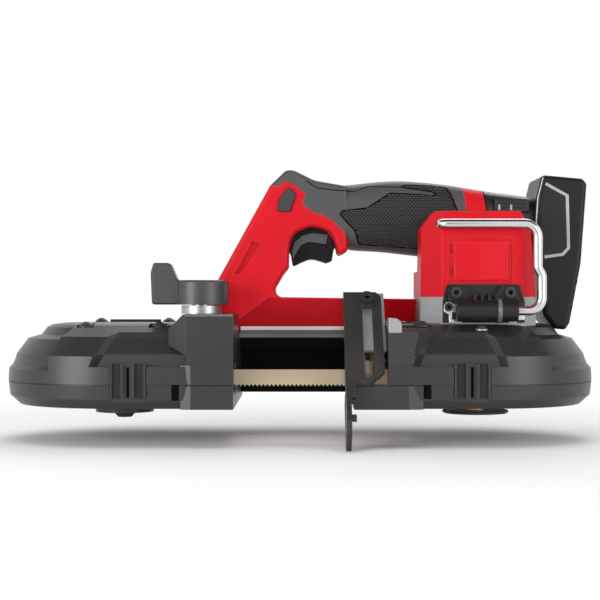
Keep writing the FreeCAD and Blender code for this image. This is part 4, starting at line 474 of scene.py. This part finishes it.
clamp_low, clamp_high = corners_of("shoe_screw")
clamp_axis = Vector((0, -1, 1)).normalized()
clamp_half = (clamp_high.y - clamp_low.y) / math.sqrt(2) - WASHER_RADIUS
clamp_top = (clamp_low + clamp_high) / 2 + clamp_axis * clamp_half
head_profile = [(3.9, -1.2), (3.9, -0.2), (3.4, 0.4), (2.2, 0.7)]
turned("clamp_head", head_profile, clamp_top, clamp_axis, head_steel, "saw_body")
socket_profile = [(1.7, -0.5), (1.7, 0.74)]
turned("clamp_socket", socket_profile, clamp_top, clamp_axis, painted_shade_black, "saw_body")

# Guards: moulded glass-filled nylon, an upper guard and a lower cover on each wheel.
# Snap clips hold each cover to its guard, and a channel covers the band behind the throat.
# A rib stands on the front guard, and a cast boss on the rear one beside the shoe.
# Its grey edge colour is a painted highlight along the edges as well as scuffing
guard_nylon = skin("guard_nylon", (0.019, 0.019, 0.0186), 0.36, grain=1400, cloud=0.08,
                   edge=(0.11, 0.11, 0.11), wear_and_highlight=0.6)
dress(guard_nylon, "front_wheel_guard", "rear_wheel_guard", "front_lower_cover", "rear_lower_cover")
dress(guard_nylon, "guard_clips")
black_nylon = skin("black_nylon", (0.008, 0.008, 0.008), 0.40, grain=1400, cloud=0.08, shine=0.35)
# The channel behind the throat is near-black: painted shade where it lies in shadow
dress(painted_shade_black, "return_guard")


def plate(outline, y0, y1):
    """Points and faces of a flat plate with an x, z outline between two depths."""
    return lofted([[(x, y, z) for x, z in outline] for y in (y0, y1)])


def rounded(obj, width):
    """The same piece with its edges rounded by a width in millimetres."""
    bevel = obj.modifiers.new("rounding", "BEVEL")
    bevel.width = width * MM
    bevel.segments = 2
    return obj


def block(name, corner, size, material, body, rounding):
    """A small box with rounded edges, from its lowest corner."""
    x, y, z = corner
    wide, deep, high = size
    outline = [(x, z), (x + wide, z), (x + wide, z + high), (x, z + high)]
    return rounded(piece(name, plate(outline, y, y + deep), material, body), rounding)


# Dark floors lie in the clips' grooves and slots and in the notches of the guards: painted shade in these
# recesses
FLOOR_THICK = 0.2
FLOOR_ROUNDING = 0.03
SLOT_ROUNDING = 0.05
CLIP_WIDE = 20.6
CLIP_SLOT = 1.7
SLOT_SUNK = 0.5
SLOT_FOOT = 0.3
SLOT_SHORT = 2.6
GROOVE_SHIFT = 6.5
GROOVE_WIDE = 5.0
GROOVE_DEPTH = 2.2
GROOVE_RISE = 0.06
GROOVE_MARGIN = 0.2
clip_low, clip_high = corners_of("guard_clips")
clip_tall = clip_high.z - clip_low.z
for name, left in (("front", clip_low.x), ("rear", clip_high.x - CLIP_WIDE)):
    middle = left + CLIP_WIDE / 2
    corner = (middle - CLIP_SLOT / 2, clip_high.y - SLOT_SUNK, clip_low.z + SLOT_FOOT)
    size = (CLIP_SLOT, FLOOR_THICK, clip_tall - SLOT_SHORT)
    block(name + "_clip_slot", corner, size, painted_shade_black, "saw_body", SLOT_ROUNDING)
    # Groove floors in black nylon, darker than the guard: painted shade
    for hand, side in (("left", -1), ("right", 1)):
        groove_left = middle + side * GROOVE_SHIFT - GROOVE_WIDE / 2
        corner = (groove_left, clip_low.y + GROOVE_DEPTH - GROOVE_RISE, clip_low.z + GROOVE_MARGIN)
        size = (GROOVE_WIDE, FLOOR_THICK, clip_tall - 2 * GROOVE_MARGIN)
        block(name + "_clip_floor_" + hand, corner, size, black_nylon, "saw_body", FLOOR_ROUNDING)

NOTCH_WIDE = 4.5
NOTCH_DEPTH = 3.6
NOTCH_RISE = 0.08
NOTCH_TOP = -3.3
FRONT_NOTCH_IN = 35.5
FRONT_NOTCH_FOOT = -12.4
REAR_NOTCH_IN = 20.1
REAR_NOTCH_FOOT = -11.4
guard_low, guard_high = corners_of("front_wheel_guard")
rear_low = corners_of("rear_wheel_guard")[0]
notches = [
    ("front", guard_high.x - FRONT_NOTCH_IN, FRONT_NOTCH_FOOT),
    ("rear", rear_low.x + REAR_NOTCH_IN, REAR_NOTCH_FOOT),
]
# Each notch floor is near-black: painted shade
for name, left, foot in notches:
    corner = (left, guard_low.y + NOTCH_DEPTH - NOTCH_RISE, foot)
    size = (NOTCH_WIDE, FLOOR_THICK, NOTCH_TOP - foot)
    block(name + "_notch_floor", corner, size, painted_shade_black, "saw_body", FLOOR_ROUNDING)

GUARD_TOP = 31.5
RIB_SUNK = 0.4
RIB_PLACE = (-116.0, 85.4, GUARD_TOP - RIB_SUNK)
RIB_SIZE = (32.6, 2.4, 2.0)
RIB_ROUNDING = 0.4
block("guard_rib", RIB_PLACE, RIB_SIZE, black_nylon, "saw_body", RIB_ROUNDING)

BOSS_FRONT = -13.0
BOSS_BACK = 4.0
BOSS_ROUNDING = 0.5
boss_offsets = [(0.2, 26.4), (7.6, 26.4), (7.8, 27.0), (7.8, 31.4), (6.8, 33.6), (4.8, 34.9), (0.2, 35.1)]
boss = plate([(rear_low.x + x, z) for x, z in boss_offsets], BOSS_FRONT, BOSS_BACK)
rounded(piece("shoe_boss", boss, cast_aluminium, "saw_body"), BOSS_ROUNDING)

# Tension lever: a moulded knob with a paddle on a plated collar.
# Its shaft carries the eccentric that draws the idler along, against a spring.
knob_nylon = skin("knob_nylon", (0.042, 0.042, 0.042), 0.36, grain=1400, depth=0.03)
dress(knob_nylon, "tension_lever")
zinc = skin("zinc", (0.66, 0.66, 0.67), 0.18, depth=0.002, cloud=0.08, metallic=1.0)
dress(zinc, "tension_shaft")
turned_zinc = skin("turned_zinc", (0.46, 0.46, 0.47), 0.36, depth=0.004, cloud=0.10, metallic=0.9)
dress(turned_zinc, "tension_collar")
dress(bright_steel, "tension_spring")

# Motor cover: a red moulded nylon block with a framed panel, screwed over the motor.
# Its lower edge sits on the gear case.
# Its pink edge colour is a painted highlight along the edges as well as scuffing
red_nylon = skin("red_nylon", (0.50, 0.004, 0.011), 0.46, grain=1300, cloud=0.05,
                 edge=(0.85, 0.22, 0.22), wear_and_highlight=0.9, shine=0.22)
dress(red_nylon, "motor_cover")

# Hang hook: plated wire that folds down in a black moulded bracket.
# The bracket clamps it on a black plate, whose plated feet show below it on both sides.
# A lighter grey band runs round the barrel that holds the wire, a painted highlight on its ring.
dress(black_nylon, "hook_bracket", "hook_plate")
WIRE_ADDED = 0.5
WELD_REACH = 1e-6
wire = bmesh.new()
wire.from_mesh(nodes["hook"].data)
bmesh.ops.remove_doubles(wire, verts=wire.verts, dist=WELD_REACH)
wire.normal_update()
wire.verts.ensure_lookup_table()
hook_place = nodes["hook"].matrix_world
hook_turn = hook_place.to_3x3()
points = [mm(hook_place @ v.co) + (hook_turn @ v.normal).normalized() * WIRE_ADDED for v in wire.verts]
faces = [[v.index for v in f.verts] for f in wire.faces]
wire.free()
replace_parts(piece("hook_wire", (points, faces), zinc, "hook", True), "hook")

FOOT_THICK = 0.9
FOOT_SUNK = 0.2
FOOT_ROUNDING = 0.2
hook_low, hook_high = corners_of("hook_plate")
left_foot = [(0.6, 42.6), (0.6, 38.4), (3.6, 36.8), (3.6, 32.0), (11.0, 32.0), (11.0, 34.0),
             (5.6, 34.0), (5.6, 38.2), (8.0, 38.2), (8.0, 44.4), (2.4, 44.4)]
right_foot = [(-0.3, 40.0), (-0.3, 33.6), (-5.0, 33.6), (-5.0, 32.0), (-9.6, 32.0), (-9.6, 33.4),
              (-6.4, 35.6), (-4.4, 35.6), (-4.4, 40.0)]
for name, edge_x, offsets in (("left", hook_low.x, left_foot), ("right", hook_high.x, right_foot)):
    outline = [(edge_x + x, z) for x, z in offsets]
    foot = plate(outline, hook_low.y - FOOT_THICK, hook_low.y + FOOT_SUNK)
    rounded(piece("hook_foot_" + name, foot, zinc, "saw_body"), FOOT_ROUNDING)

# Lighter than the bracket's black: a painted highlight
barrel_highlight = skin("barrel_highlight_nylon", (0.10, 0.10, 0.10), 0.18, depth=0.005)
BARREL_BAND_IN = 13.6
barrel_profile = [(6.2, 0.0), (7.32, 0.1), (7.32, 2.5), (6.2, 2.6)]
hook_pin = mm(next(joint["pos_m"] for joint in frame["joints"] if joint["name"] == "hook_swing"))
bracket_high = corners_of("hook_bracket")[1]
barrel_start = (bracket_high.x - BARREL_BAND_IN, hook_pin.y, hook_pin.z)
turned("barrel_band", barrel_profile, barrel_start, (1, 0, 0), barrel_highlight, "saw_body")

# Handle: two red moulded half shells with the leg, the bar and the grip's core in one piece.
# They are screwed together from the far side.
# A light and a grey strip face the bar's lower edge, and a grey one the frame's beam below it: the light
# strip a painted highlight on a lit face, the grey ones painted shade on faces in shadow.
dress(red_nylon, "handle_shell_near", "handle_shell_far")
painted_shade_strip = skin("painted_shade_strip", (0.15, 0.15, 0.153), 0.5, grain=700, depth=0.03)
painted_highlight_strip = skin("painted_highlight_strip", (0.85, 0.84, 0.82), 0.45, grain=700, depth=0.02)
GRIP_MIDDLE = 74
GRIP_CLEAR = 60
STRIP_HALF = 0.3
STRIP_START = 0.6
STRIP_END = 22.0
RAIL_EDGES = (26.4, 28.7)
LOWER_EDGES = (24.5, 26.3)
BEAM_EDGES = (18.4, 24.2)


def tree_of(*names):
    """Search tree of some nodes' surfaces, in millimetres."""
    points, faces = [], []
    for name in names:
        obj = nodes[name]
        base = len(points)
        points += [mm(obj.matrix_world @ v.co) for v in obj.data.vertices]
        faces += [[base + i for i in f.vertices] for f in obj.data.polygons]
    return BVHTree.FromPolygons(points, faces)


def on_side(surface, side, x, z):
    """Point and outward direction where a line across the saw meets its side."""
    start = Vector((x, GRIP_MIDDLE + side * GRIP_CLEAR, z))
    hit, normal = surface.ray_cast(start, Vector((0, -side, 0)))[:2]
    if hit is None:
        return None, None
    return hit, normal if normal.y * side > 0 else -normal


bar_side = tree_of("handle_shell_near", "handle_shell_far", "main_frame")
strip_left = guard_high.x + STRIP_START
strip_right = rear_low.x - STRIP_END


def facing(name, heights, material):
    """A thin strip on the near side of the bar, with its edges at the given heights."""
    middle = (strip_left + strip_right) / 2
    rows = [(on_side(bar_side, -1, middle, z)[0].y - STRIP_HALF, z) for z in heights]
    outline = rows + [(y + 2 * STRIP_HALF, z) for y, z in reversed(rows)]
    rings = [[(x, y, z) for y, z in outline] for x in (strip_left, strip_right)]
    return piece(name, lofted(rings), material, "saw_body")


# A painted highlight on the rail's face, painted shade below it and on the beam
facing("rail_painted_highlight", RAIL_EDGES, painted_highlight_strip)
facing("rail_lower_painted_shade", LOWER_EDGES, painted_shade_strip)
facing("beam_painted_shade", BEAM_EDGES, painted_shade_strip)

# Grip: soft rubber moulded over the head and the grip, with a studded panel on each side; the panel is
# darker, painted shade between the studs, and the studs are lighter, a painted highlight on them.
# Fine seams part the panel and the crown of the head from the plain rubber, each a dark bead of painted
# shade in its groove.
soft_rubber = skin("soft_rubber", (0.056, 0.056, 0.057), 0.50, grain=1500, depth=0.05, shine=0.4)
stud_painted_highlight = skin("stud_painted_highlight", (0.036, 0.036, 0.036), 0.42, grain=1500, depth=0.03, shine=0.45)
panel_painted_shade = skin("panel_painted_shade", (0.014, 0.014, 0.014), 0.60, grain=1500, depth=0.03, shine=0.2)
dress(soft_rubber, "grip_near", "grip_far")
SIDES = (("near", -1), ("far", 1))
panel_outline = [
    (31.1, 99.1), (32.6, 101.1), (48.1, 102.8), (62.4, 112.1), (80.9, 111.3), (91.5, 110.5),
    (89.2, 113.1), (69.5, 116.2), (72.0, 117.6), (88.0, 117.0), (98.0, 115.6), (100.6, 111.0),
    (102.6, 105.3), (105.0, 98.5), (106.4, 88.0), (106.4, 75.6), (84.0, 77.2), (68.9, 78.6),
    (52.6, 79.8), (43.0, 80.6), (42.0, 83.6), (40.4, 88.9), (35.5, 94.0),
]
crown_line = [(10.0, 119.8), (16.6, 115.4), (28.0, 113.9), (39.5, 113.4), (49.2, 116.6), (69.5, 116.2)]
PANEL_RISE = 0.15
PANEL_STEP = 1.4
BORDER_STEP = 0.8
KEEP_INSIDE = 1
MERGE_REACH = 1e-4
SEAM_STEP = 1.5
PANEL_SEAM = 0.5
CROWN_SEAM = 0.32
BEAD_SIDES = 6
STUD_PITCH = 2.3
STUD_ROW = 1.35
STUD_RISE = 0.5
STUD_SUNK = 0.1
STUD_TAPER = 0.72
STUD_CLEAR = 0.55
stud_shape = ((-0.48, 0.0), (-0.30, -0.40), (0.30, -0.40), (0.48, 0.0), (0.30, 0.40), (-0.30, 0.40))


def even_run(points, step, closed):
    """The same line with points at even spacing."""
    ends = points + points[:1] if closed else points
    run = []
    for a, b in zip(ends, ends[1:]):
        a, b = Vector(a), Vector(b)
        count = max(1, round((b - a).length / step))
        run += [a.lerp(b, i / count) for i in range(count)]
    return run if closed else run + [Vector(ends[-1])]


def inside(x, z, outline):
    """Whether a point lies within an x, z outline."""
    found = False
    for (x0, z0), (x1, z1) in zip(outline, outline[1:] + outline[:1]):
        if (z0 > z) != (z1 > z) and x < x0 + (x1 - x0) * (z - z0) / (z1 - z0):
            found = not found
    return found


border = even_run(panel_outline, BORDER_STEP, True)
low_x, high_x = min(p.x for p in border), max(p.x for p in border)
low_z, high_z = min(p.y for p in border), max(p.y for p in border)


def panel_skin(surface, side):
    """A sheet that follows the grip's side within the panel's outline, sunk along its border."""
    flat_points = list(border)
    for row in range(int((high_z - low_z) / PANEL_STEP) + 1):
        for column in range(int((high_x - low_x) / PANEL_STEP) + 1):
            x, z = low_x + column * PANEL_STEP, low_z + row * PANEL_STEP
            if inside(x, z, panel_outline):
                flat_points.append(Vector((x, z)))
    mesh = delaunay_2d_cdt(flat_points, [], [list(range(len(border)))], KEEP_INSIDE, MERGE_REACH)
    points, kept = [], {}
    for i, p in enumerate(mesh[0]):
        hit, normal = on_side(surface, side, p.x, p.y)
        if hit:
            kept[i] = len(points)
            points.append(hit + normal * (-PANEL_RISE if i < len(border) else PANEL_RISE))
    return points, [[kept[i] for i in f] for f in mesh[2] if all(i in kept for i in f)]


def stud(hit, normal):
    """Points and faces of one tapered six-sided stud on a point of the grip."""
    along = Vector((1, 0, 0))
    along = (along - normal * along.dot(normal)).normalized()
    up = normal.cross(along)
    up = up if up.z > 0 else -up
    rings = []
    for spread, rise in ((1.0, 0.0), (STUD_TAPER, STUD_RISE)):
        centre = hit + normal * (PANEL_RISE - STUD_SUNK + rise)
        wide, high = along * (STUD_PITCH * spread), up * (STUD_ROW * spread)
        rings.append([centre + wide * a + high * b for a, b in stud_shape])
    return lofted(rings)


def panel_studs(surface, side):
    """Rows of studs within the panel's outline, every other row shifted by half a pitch."""
    points, faces = [], []
    columns = range(math.ceil(low_x / STUD_PITCH) - 1, math.floor(high_x / STUD_PITCH) + 1)
    for row in range(math.ceil(low_z / STUD_ROW), math.floor(high_z / STUD_ROW) + 1):
        for column in columns:
            x, z = (column + 0.5 * (row % 2)) * STUD_PITCH, row * STUD_ROW
            ends = (x - STUD_CLEAR * STUD_PITCH, x + STUD_CLEAR * STUD_PITCH)
            hit, normal = on_side(surface, side, x, z)
            if hit is None or not all(inside(end, z, panel_outline) for end in ends):
                continue
            stud_points, stud_faces = stud(hit, normal)
            faces += [[len(points) + k for k in face] for face in stud_faces]
            points += stud_points
    return points, faces


def bead(name, centres, closed, material, body, radius):
    """A fine round bead along a line of points."""
    count = len(centres)
    turns = [2 * math.pi * k / BEAD_SIDES for k in range(BEAD_SIDES)]
    rings = []
    for i, centre in enumerate(centres):
        after = centres[(i + 1) % count] if closed else centres[min(i + 1, count - 1)]
        before = centres[i - 1] if closed else centres[max(i - 1, 0)]
        along = (after - before).normalized()
        across = along.cross(Vector((0, 1, 0))).normalized()
        rise = across.cross(along)
        rings.append([centre + (across * math.cos(t) + rise * math.sin(t)) * radius for t in turns])
    return piece(name, lofted(rings, closed, capped=False), material, body, True)


def seam(name, line, surface, side, closed, radius):
    """A dark bead laid on the side of the grip, painted shade in the seam's groove."""
    hits = [on_side(surface, side, x, z)[0] for x, z in even_run(line, SEAM_STEP, closed)]
    centres = [hit for hit in hits if hit]
    return bead(name, centres, closed, painted_shade_black, "saw_body", radius)


for name, side in SIDES:
    surface = tree_of("grip_" + name)
    # The panel sheet is painted shade between the studs, each stud a painted highlight
    piece("grip_panel_" + name, panel_skin(surface, side), panel_painted_shade, "saw_body", True)
    piece("grip_studs_" + name, panel_studs(surface, side), stud_painted_highlight, "saw_body")
    seam("panel_seam_" + name, panel_outline, surface, side, True, PANEL_SEAM)
    seam("crown_seam_" + name, crown_line, surface, side, False, CROWN_SEAM)

# Trigger, lock button and switch: smooth black mouldings, the trigger glossy with grey cheeks.
# The switch, its board and the battery's terminals sit inside the handle.
gloss_black = skin("gloss_black", (0.008, 0.008, 0.008), 0.16, depth=0.005)
dress(gloss_black, "trigger")
dress(bright_steel, "trigger_spring")
trigger_grey = skin("trigger_grey", (0.060, 0.060, 0.061), 0.34, grain=1300, depth=0.02)
CHEEK_RISE = 0.3
CHEEK_ROUNDING = 0.2
trigger_low, trigger_high = corners_of("trigger")
cheek_offsets = [(3.2, 3.6), (3.0, 9.8), (4.6, 15.1), (9.6, 19.3), (16.4, 20.9), (25.6, 19.7), (24.4, 13.8),
                 (20.8, 14.3), (13.5, 15.3), (8.4, 13.0), (4.9, 7.0)]
cheek_outline = [(trigger_low.x + x, trigger_low.z + z) for x, z in cheek_offsets]
for name, side in SIDES:
    face_y = trigger_low.y if side < 0 else trigger_high.y
    cheek = plate(cheek_outline, face_y + side * CHEEK_RISE, face_y - side * CHEEK_RISE)
    rounded(piece("trigger_cheek_" + name, cheek, trigger_grey, "trigger"), CHEEK_ROUNDING)
button_nylon = skin("button_nylon", (0.030, 0.030, 0.030), 0.45, grain=1400, shine=0.4)
dress(button_nylon, "lock_button")
dress(black_nylon, "switch_module", "battery_terminal")
board_green = skin("board_green", (0.02, 0.16, 0.06), 0.4, grain=500, depth=0.03)
dress(board_green, "control_board")

# Battery: a moulded pack on a glossy stem, with a press latch on both sides.
# A bare plate in a plated border fills each cheek, beside a silver bead along the front edge, a painted
# highlight on that edge.
# Dark notches run down the rear edges, painted shade in them, and two silver marks stand on each latch,
# painted highlights on its bumps.
pack_nylon = skin("pack_nylon", (0.008, 0.007, 0.0075), 0.42, grain=1300, shine=0.25)
dress(pack_nylon, "battery_pack")
label_nylon = skin("label_nylon", (0.009, 0.008, 0.009), 0.32, grain=1500, depth=0.015, shine=0.35)
neck_nylon = skin("neck_nylon", (0.012, 0.012, 0.012), 0.34, grain=1300, depth=0.02)
dress(neck_nylon, "battery_stem", "battery_latch_near", "battery_latch_far")
silver = skin("silver", (0.38, 0.37, 0.36), 0.34, grain=1200, depth=0.01, metallic=0.5)
LABEL_IN = 29.3
LABEL_RISE = 0.35
LABEL_SUNK = 0.3
LABEL_ROUNDING = 0.15
BORDER_WIDE = 1.9
BORDER_RISE = 0.6
BORDER_POINTS = 5
MITRE_LEAST = 0.5
EDGE_IN = 0.9
EDGE_HIGHLIGHT_RADIUS = 0.5
PACK_NOTCH = (1.4, 2.4, 2.2)
PACK_NOTCH_LEFT = 1.5
PACK_NOTCH_BELOW = 1.1
PACK_NOTCH_ROUNDING = 0.2
MARK_SIZE = (1.3, 0.42, 3.6)
MARK_RISE = 0.12
MARK_FOOT = 0.8
MARK_ROUNDING = 0.1
MARK_SHIFTS = (2.2, 9.6)
pack_low, pack_high = corners_of("battery_pack")


def on_cheek(*offsets):
    """Points of the battery's cheek, from the front of its plate."""
    return [(pack_high.x - LABEL_IN + x, z) for x, z in offsets]


label_outline = on_cheek(
    (3.4, 117.5), (16.8, 110.0), (17.6, 77.7), (14.0, 73.7), (2.6, 72.1), (0.4, 84.0), (0.8, 108.6)
)
edge_highlight_line = on_cheek((2.2, 121.4), (-1.1, 108.6), (-2.0, 96.0), (-2.4, 86.0))
notch_line = on_cheek((28.5, 110), (27.3, 93), (25.9, 74), (23.4, 57), (21.5, 47.5), (20.3, 41))


def strip(line, width, y0, y1):
    """Points and faces of a flat band that follows a line of x, z points."""
    line = [Vector(p) for p in line]
    rings = []
    for i, here in enumerate(line):
        before, after = line[max(i - 1, 0)], line[min(i + 1, len(line) - 1)]
        first = (here - before).normalized() if i else (after - here).normalized()
        second = (after - here).normalized() if i < len(line) - 1 else first
        mean = (first + second).normalized()
        out = Vector((-mean.y, mean.x))
        out = out * (width / 2 / max(MITRE_LEAST, out.dot(Vector((-first.y, first.x)))))
        left, right = here + out, here - out
        rings.append([(p.x, y, p.y) for p, y in ((left, y0), (right, y0), (right, y1), (left, y1))])
    return lofted(rings)


for name, side in SIDES:
    face_y = pack_low.y if side < 0 else pack_high.y
    sunk_y = face_y - side * LABEL_SUNK
    label = plate(label_outline, face_y + side * LABEL_RISE, sunk_y)
    rounded(piece("label_" + name, label, label_nylon, "battery"), LABEL_ROUNDING)
    label_border = strip(label_outline[:BORDER_POINTS], BORDER_WIDE, face_y + side * BORDER_RISE, sunk_y)
    rounded(piece("label_border_" + name, label_border, silver, "battery"), LABEL_ROUNDING)
    # A silver bead along the front edge: a painted highlight
    edge_y = face_y - side * EDGE_IN
    edge_highlight_bead = [Vector((x, edge_y, z)) for x, z in edge_highlight_line]
    bead("pack_edge_highlight_" + name, edge_highlight_bead, False, silver, "battery", EDGE_HIGHLIGHT_RADIUS)
    # Near-black blocks: painted shade in the notches
    notch_y = min(edge_y, edge_y - side * PACK_NOTCH[1])
    for i, (x, z) in enumerate(notch_line):
        corner = (x - PACK_NOTCH_LEFT, notch_y, z - PACK_NOTCH_BELOW)
        block("pack_notch_%s_%d" % (name, i), corner, PACK_NOTCH, painted_shade_black, "battery",
              PACK_NOTCH_ROUNDING)
    # Two silver marks on the latch: painted highlights on its glossy bumps
    latch = "battery_latch_" + name
    latch_low, latch_high = corners_of(latch)
    mark_y = latch_low.y - MARK_RISE if side < 0 else latch_high.y + MARK_RISE - MARK_SIZE[1]
    for i, shift in enumerate(MARK_SHIFTS):
        corner = (latch_low.x + shift, mark_y, latch_low.z + MARK_FOOT)
        block("latch_mark_%s_%d" % (name, i), corner, MARK_SIZE, silver, latch, MARK_ROUNDING)

# Screws: blackened pan-head screws with hexagon sockets, each socket a near-black disc of painted shade.
# They hold the guards, the hook's ears and plate, and from the far side the halves of the handle.
# One screw below the hook's bracket has a plated dome.
dress(blackened_steel, "screws")
UP = (0, 0, 1)
FRONT = (0, -1, 0)
BACK = (0, 1, 0)
SOCKET_SHARE = 0.52
SOCKET_RISE = 0.06
SOCKET_DEPTH = 0.4
SOCKET_SIDES = 6
LARGE_HEAD = 3.2
SMALL_HEAD = 2.6
SHELL_HEAD = 3.0
guard_rows = ((17.4, 32.5), (84.4, 33.9))
shell_places = ((-40, 47), (-13, 92), (12, 36), (60, 39.5))

# Each head: the way it faces, its radius and the middle of its top
screw_heads = [(UP, LARGE_HEAD, (x, y, z)) for x in (-121.31, -77.91) for y, z in guard_rows]
screw_heads += [(UP, LARGE_HEAD, (78.59, y, 32.9)) for y in (11.0, 97.8)]
screw_heads += [(FRONT, LARGE_HEAD, (x, 8.73, 50.0)) for x in (98.59, 130.69)]
screw_heads += [(FRONT, SMALL_HEAD, (x, 12.03, 41.3)) for x in (94.49, 136.99)]
screw_heads += [(BACK, SHELL_HEAD, (x, 92.13, z)) for x, z in shell_places]
# Each socket is a near-black disc: painted shade in the recess
for i, (axis, radius, centre) in enumerate(screw_heads):
    profile = [(SOCKET_SHARE * radius, SOCKET_RISE), (SOCKET_SHARE * radius, -SOCKET_DEPTH)]
    turned("screw_socket_%d" % i, profile, centre, axis, painted_shade_black, "saw_body",
           SOCKET_SIDES, smooth=False)
dome_steel = skin("dome_steel", (0.36, 0.36, 0.37), 0.28, depth=0.004, cloud=0.10, metallic=0.9)
dome_profile = [(4.0, 0.0), (3.8, 0.9), (3.1, 2.0), (1.9, 2.9), (0.6, 3.3)]
DOME_LEFT = 2.0
DOME_BACK = 4.4
DOME_FOOT = 27.35
dome_place = (drive_x - DOME_LEFT, DOME_BACK, DOME_FOOT)
turned("dome_cap", dome_profile, dome_place, UP, dome_steel, "saw_body")
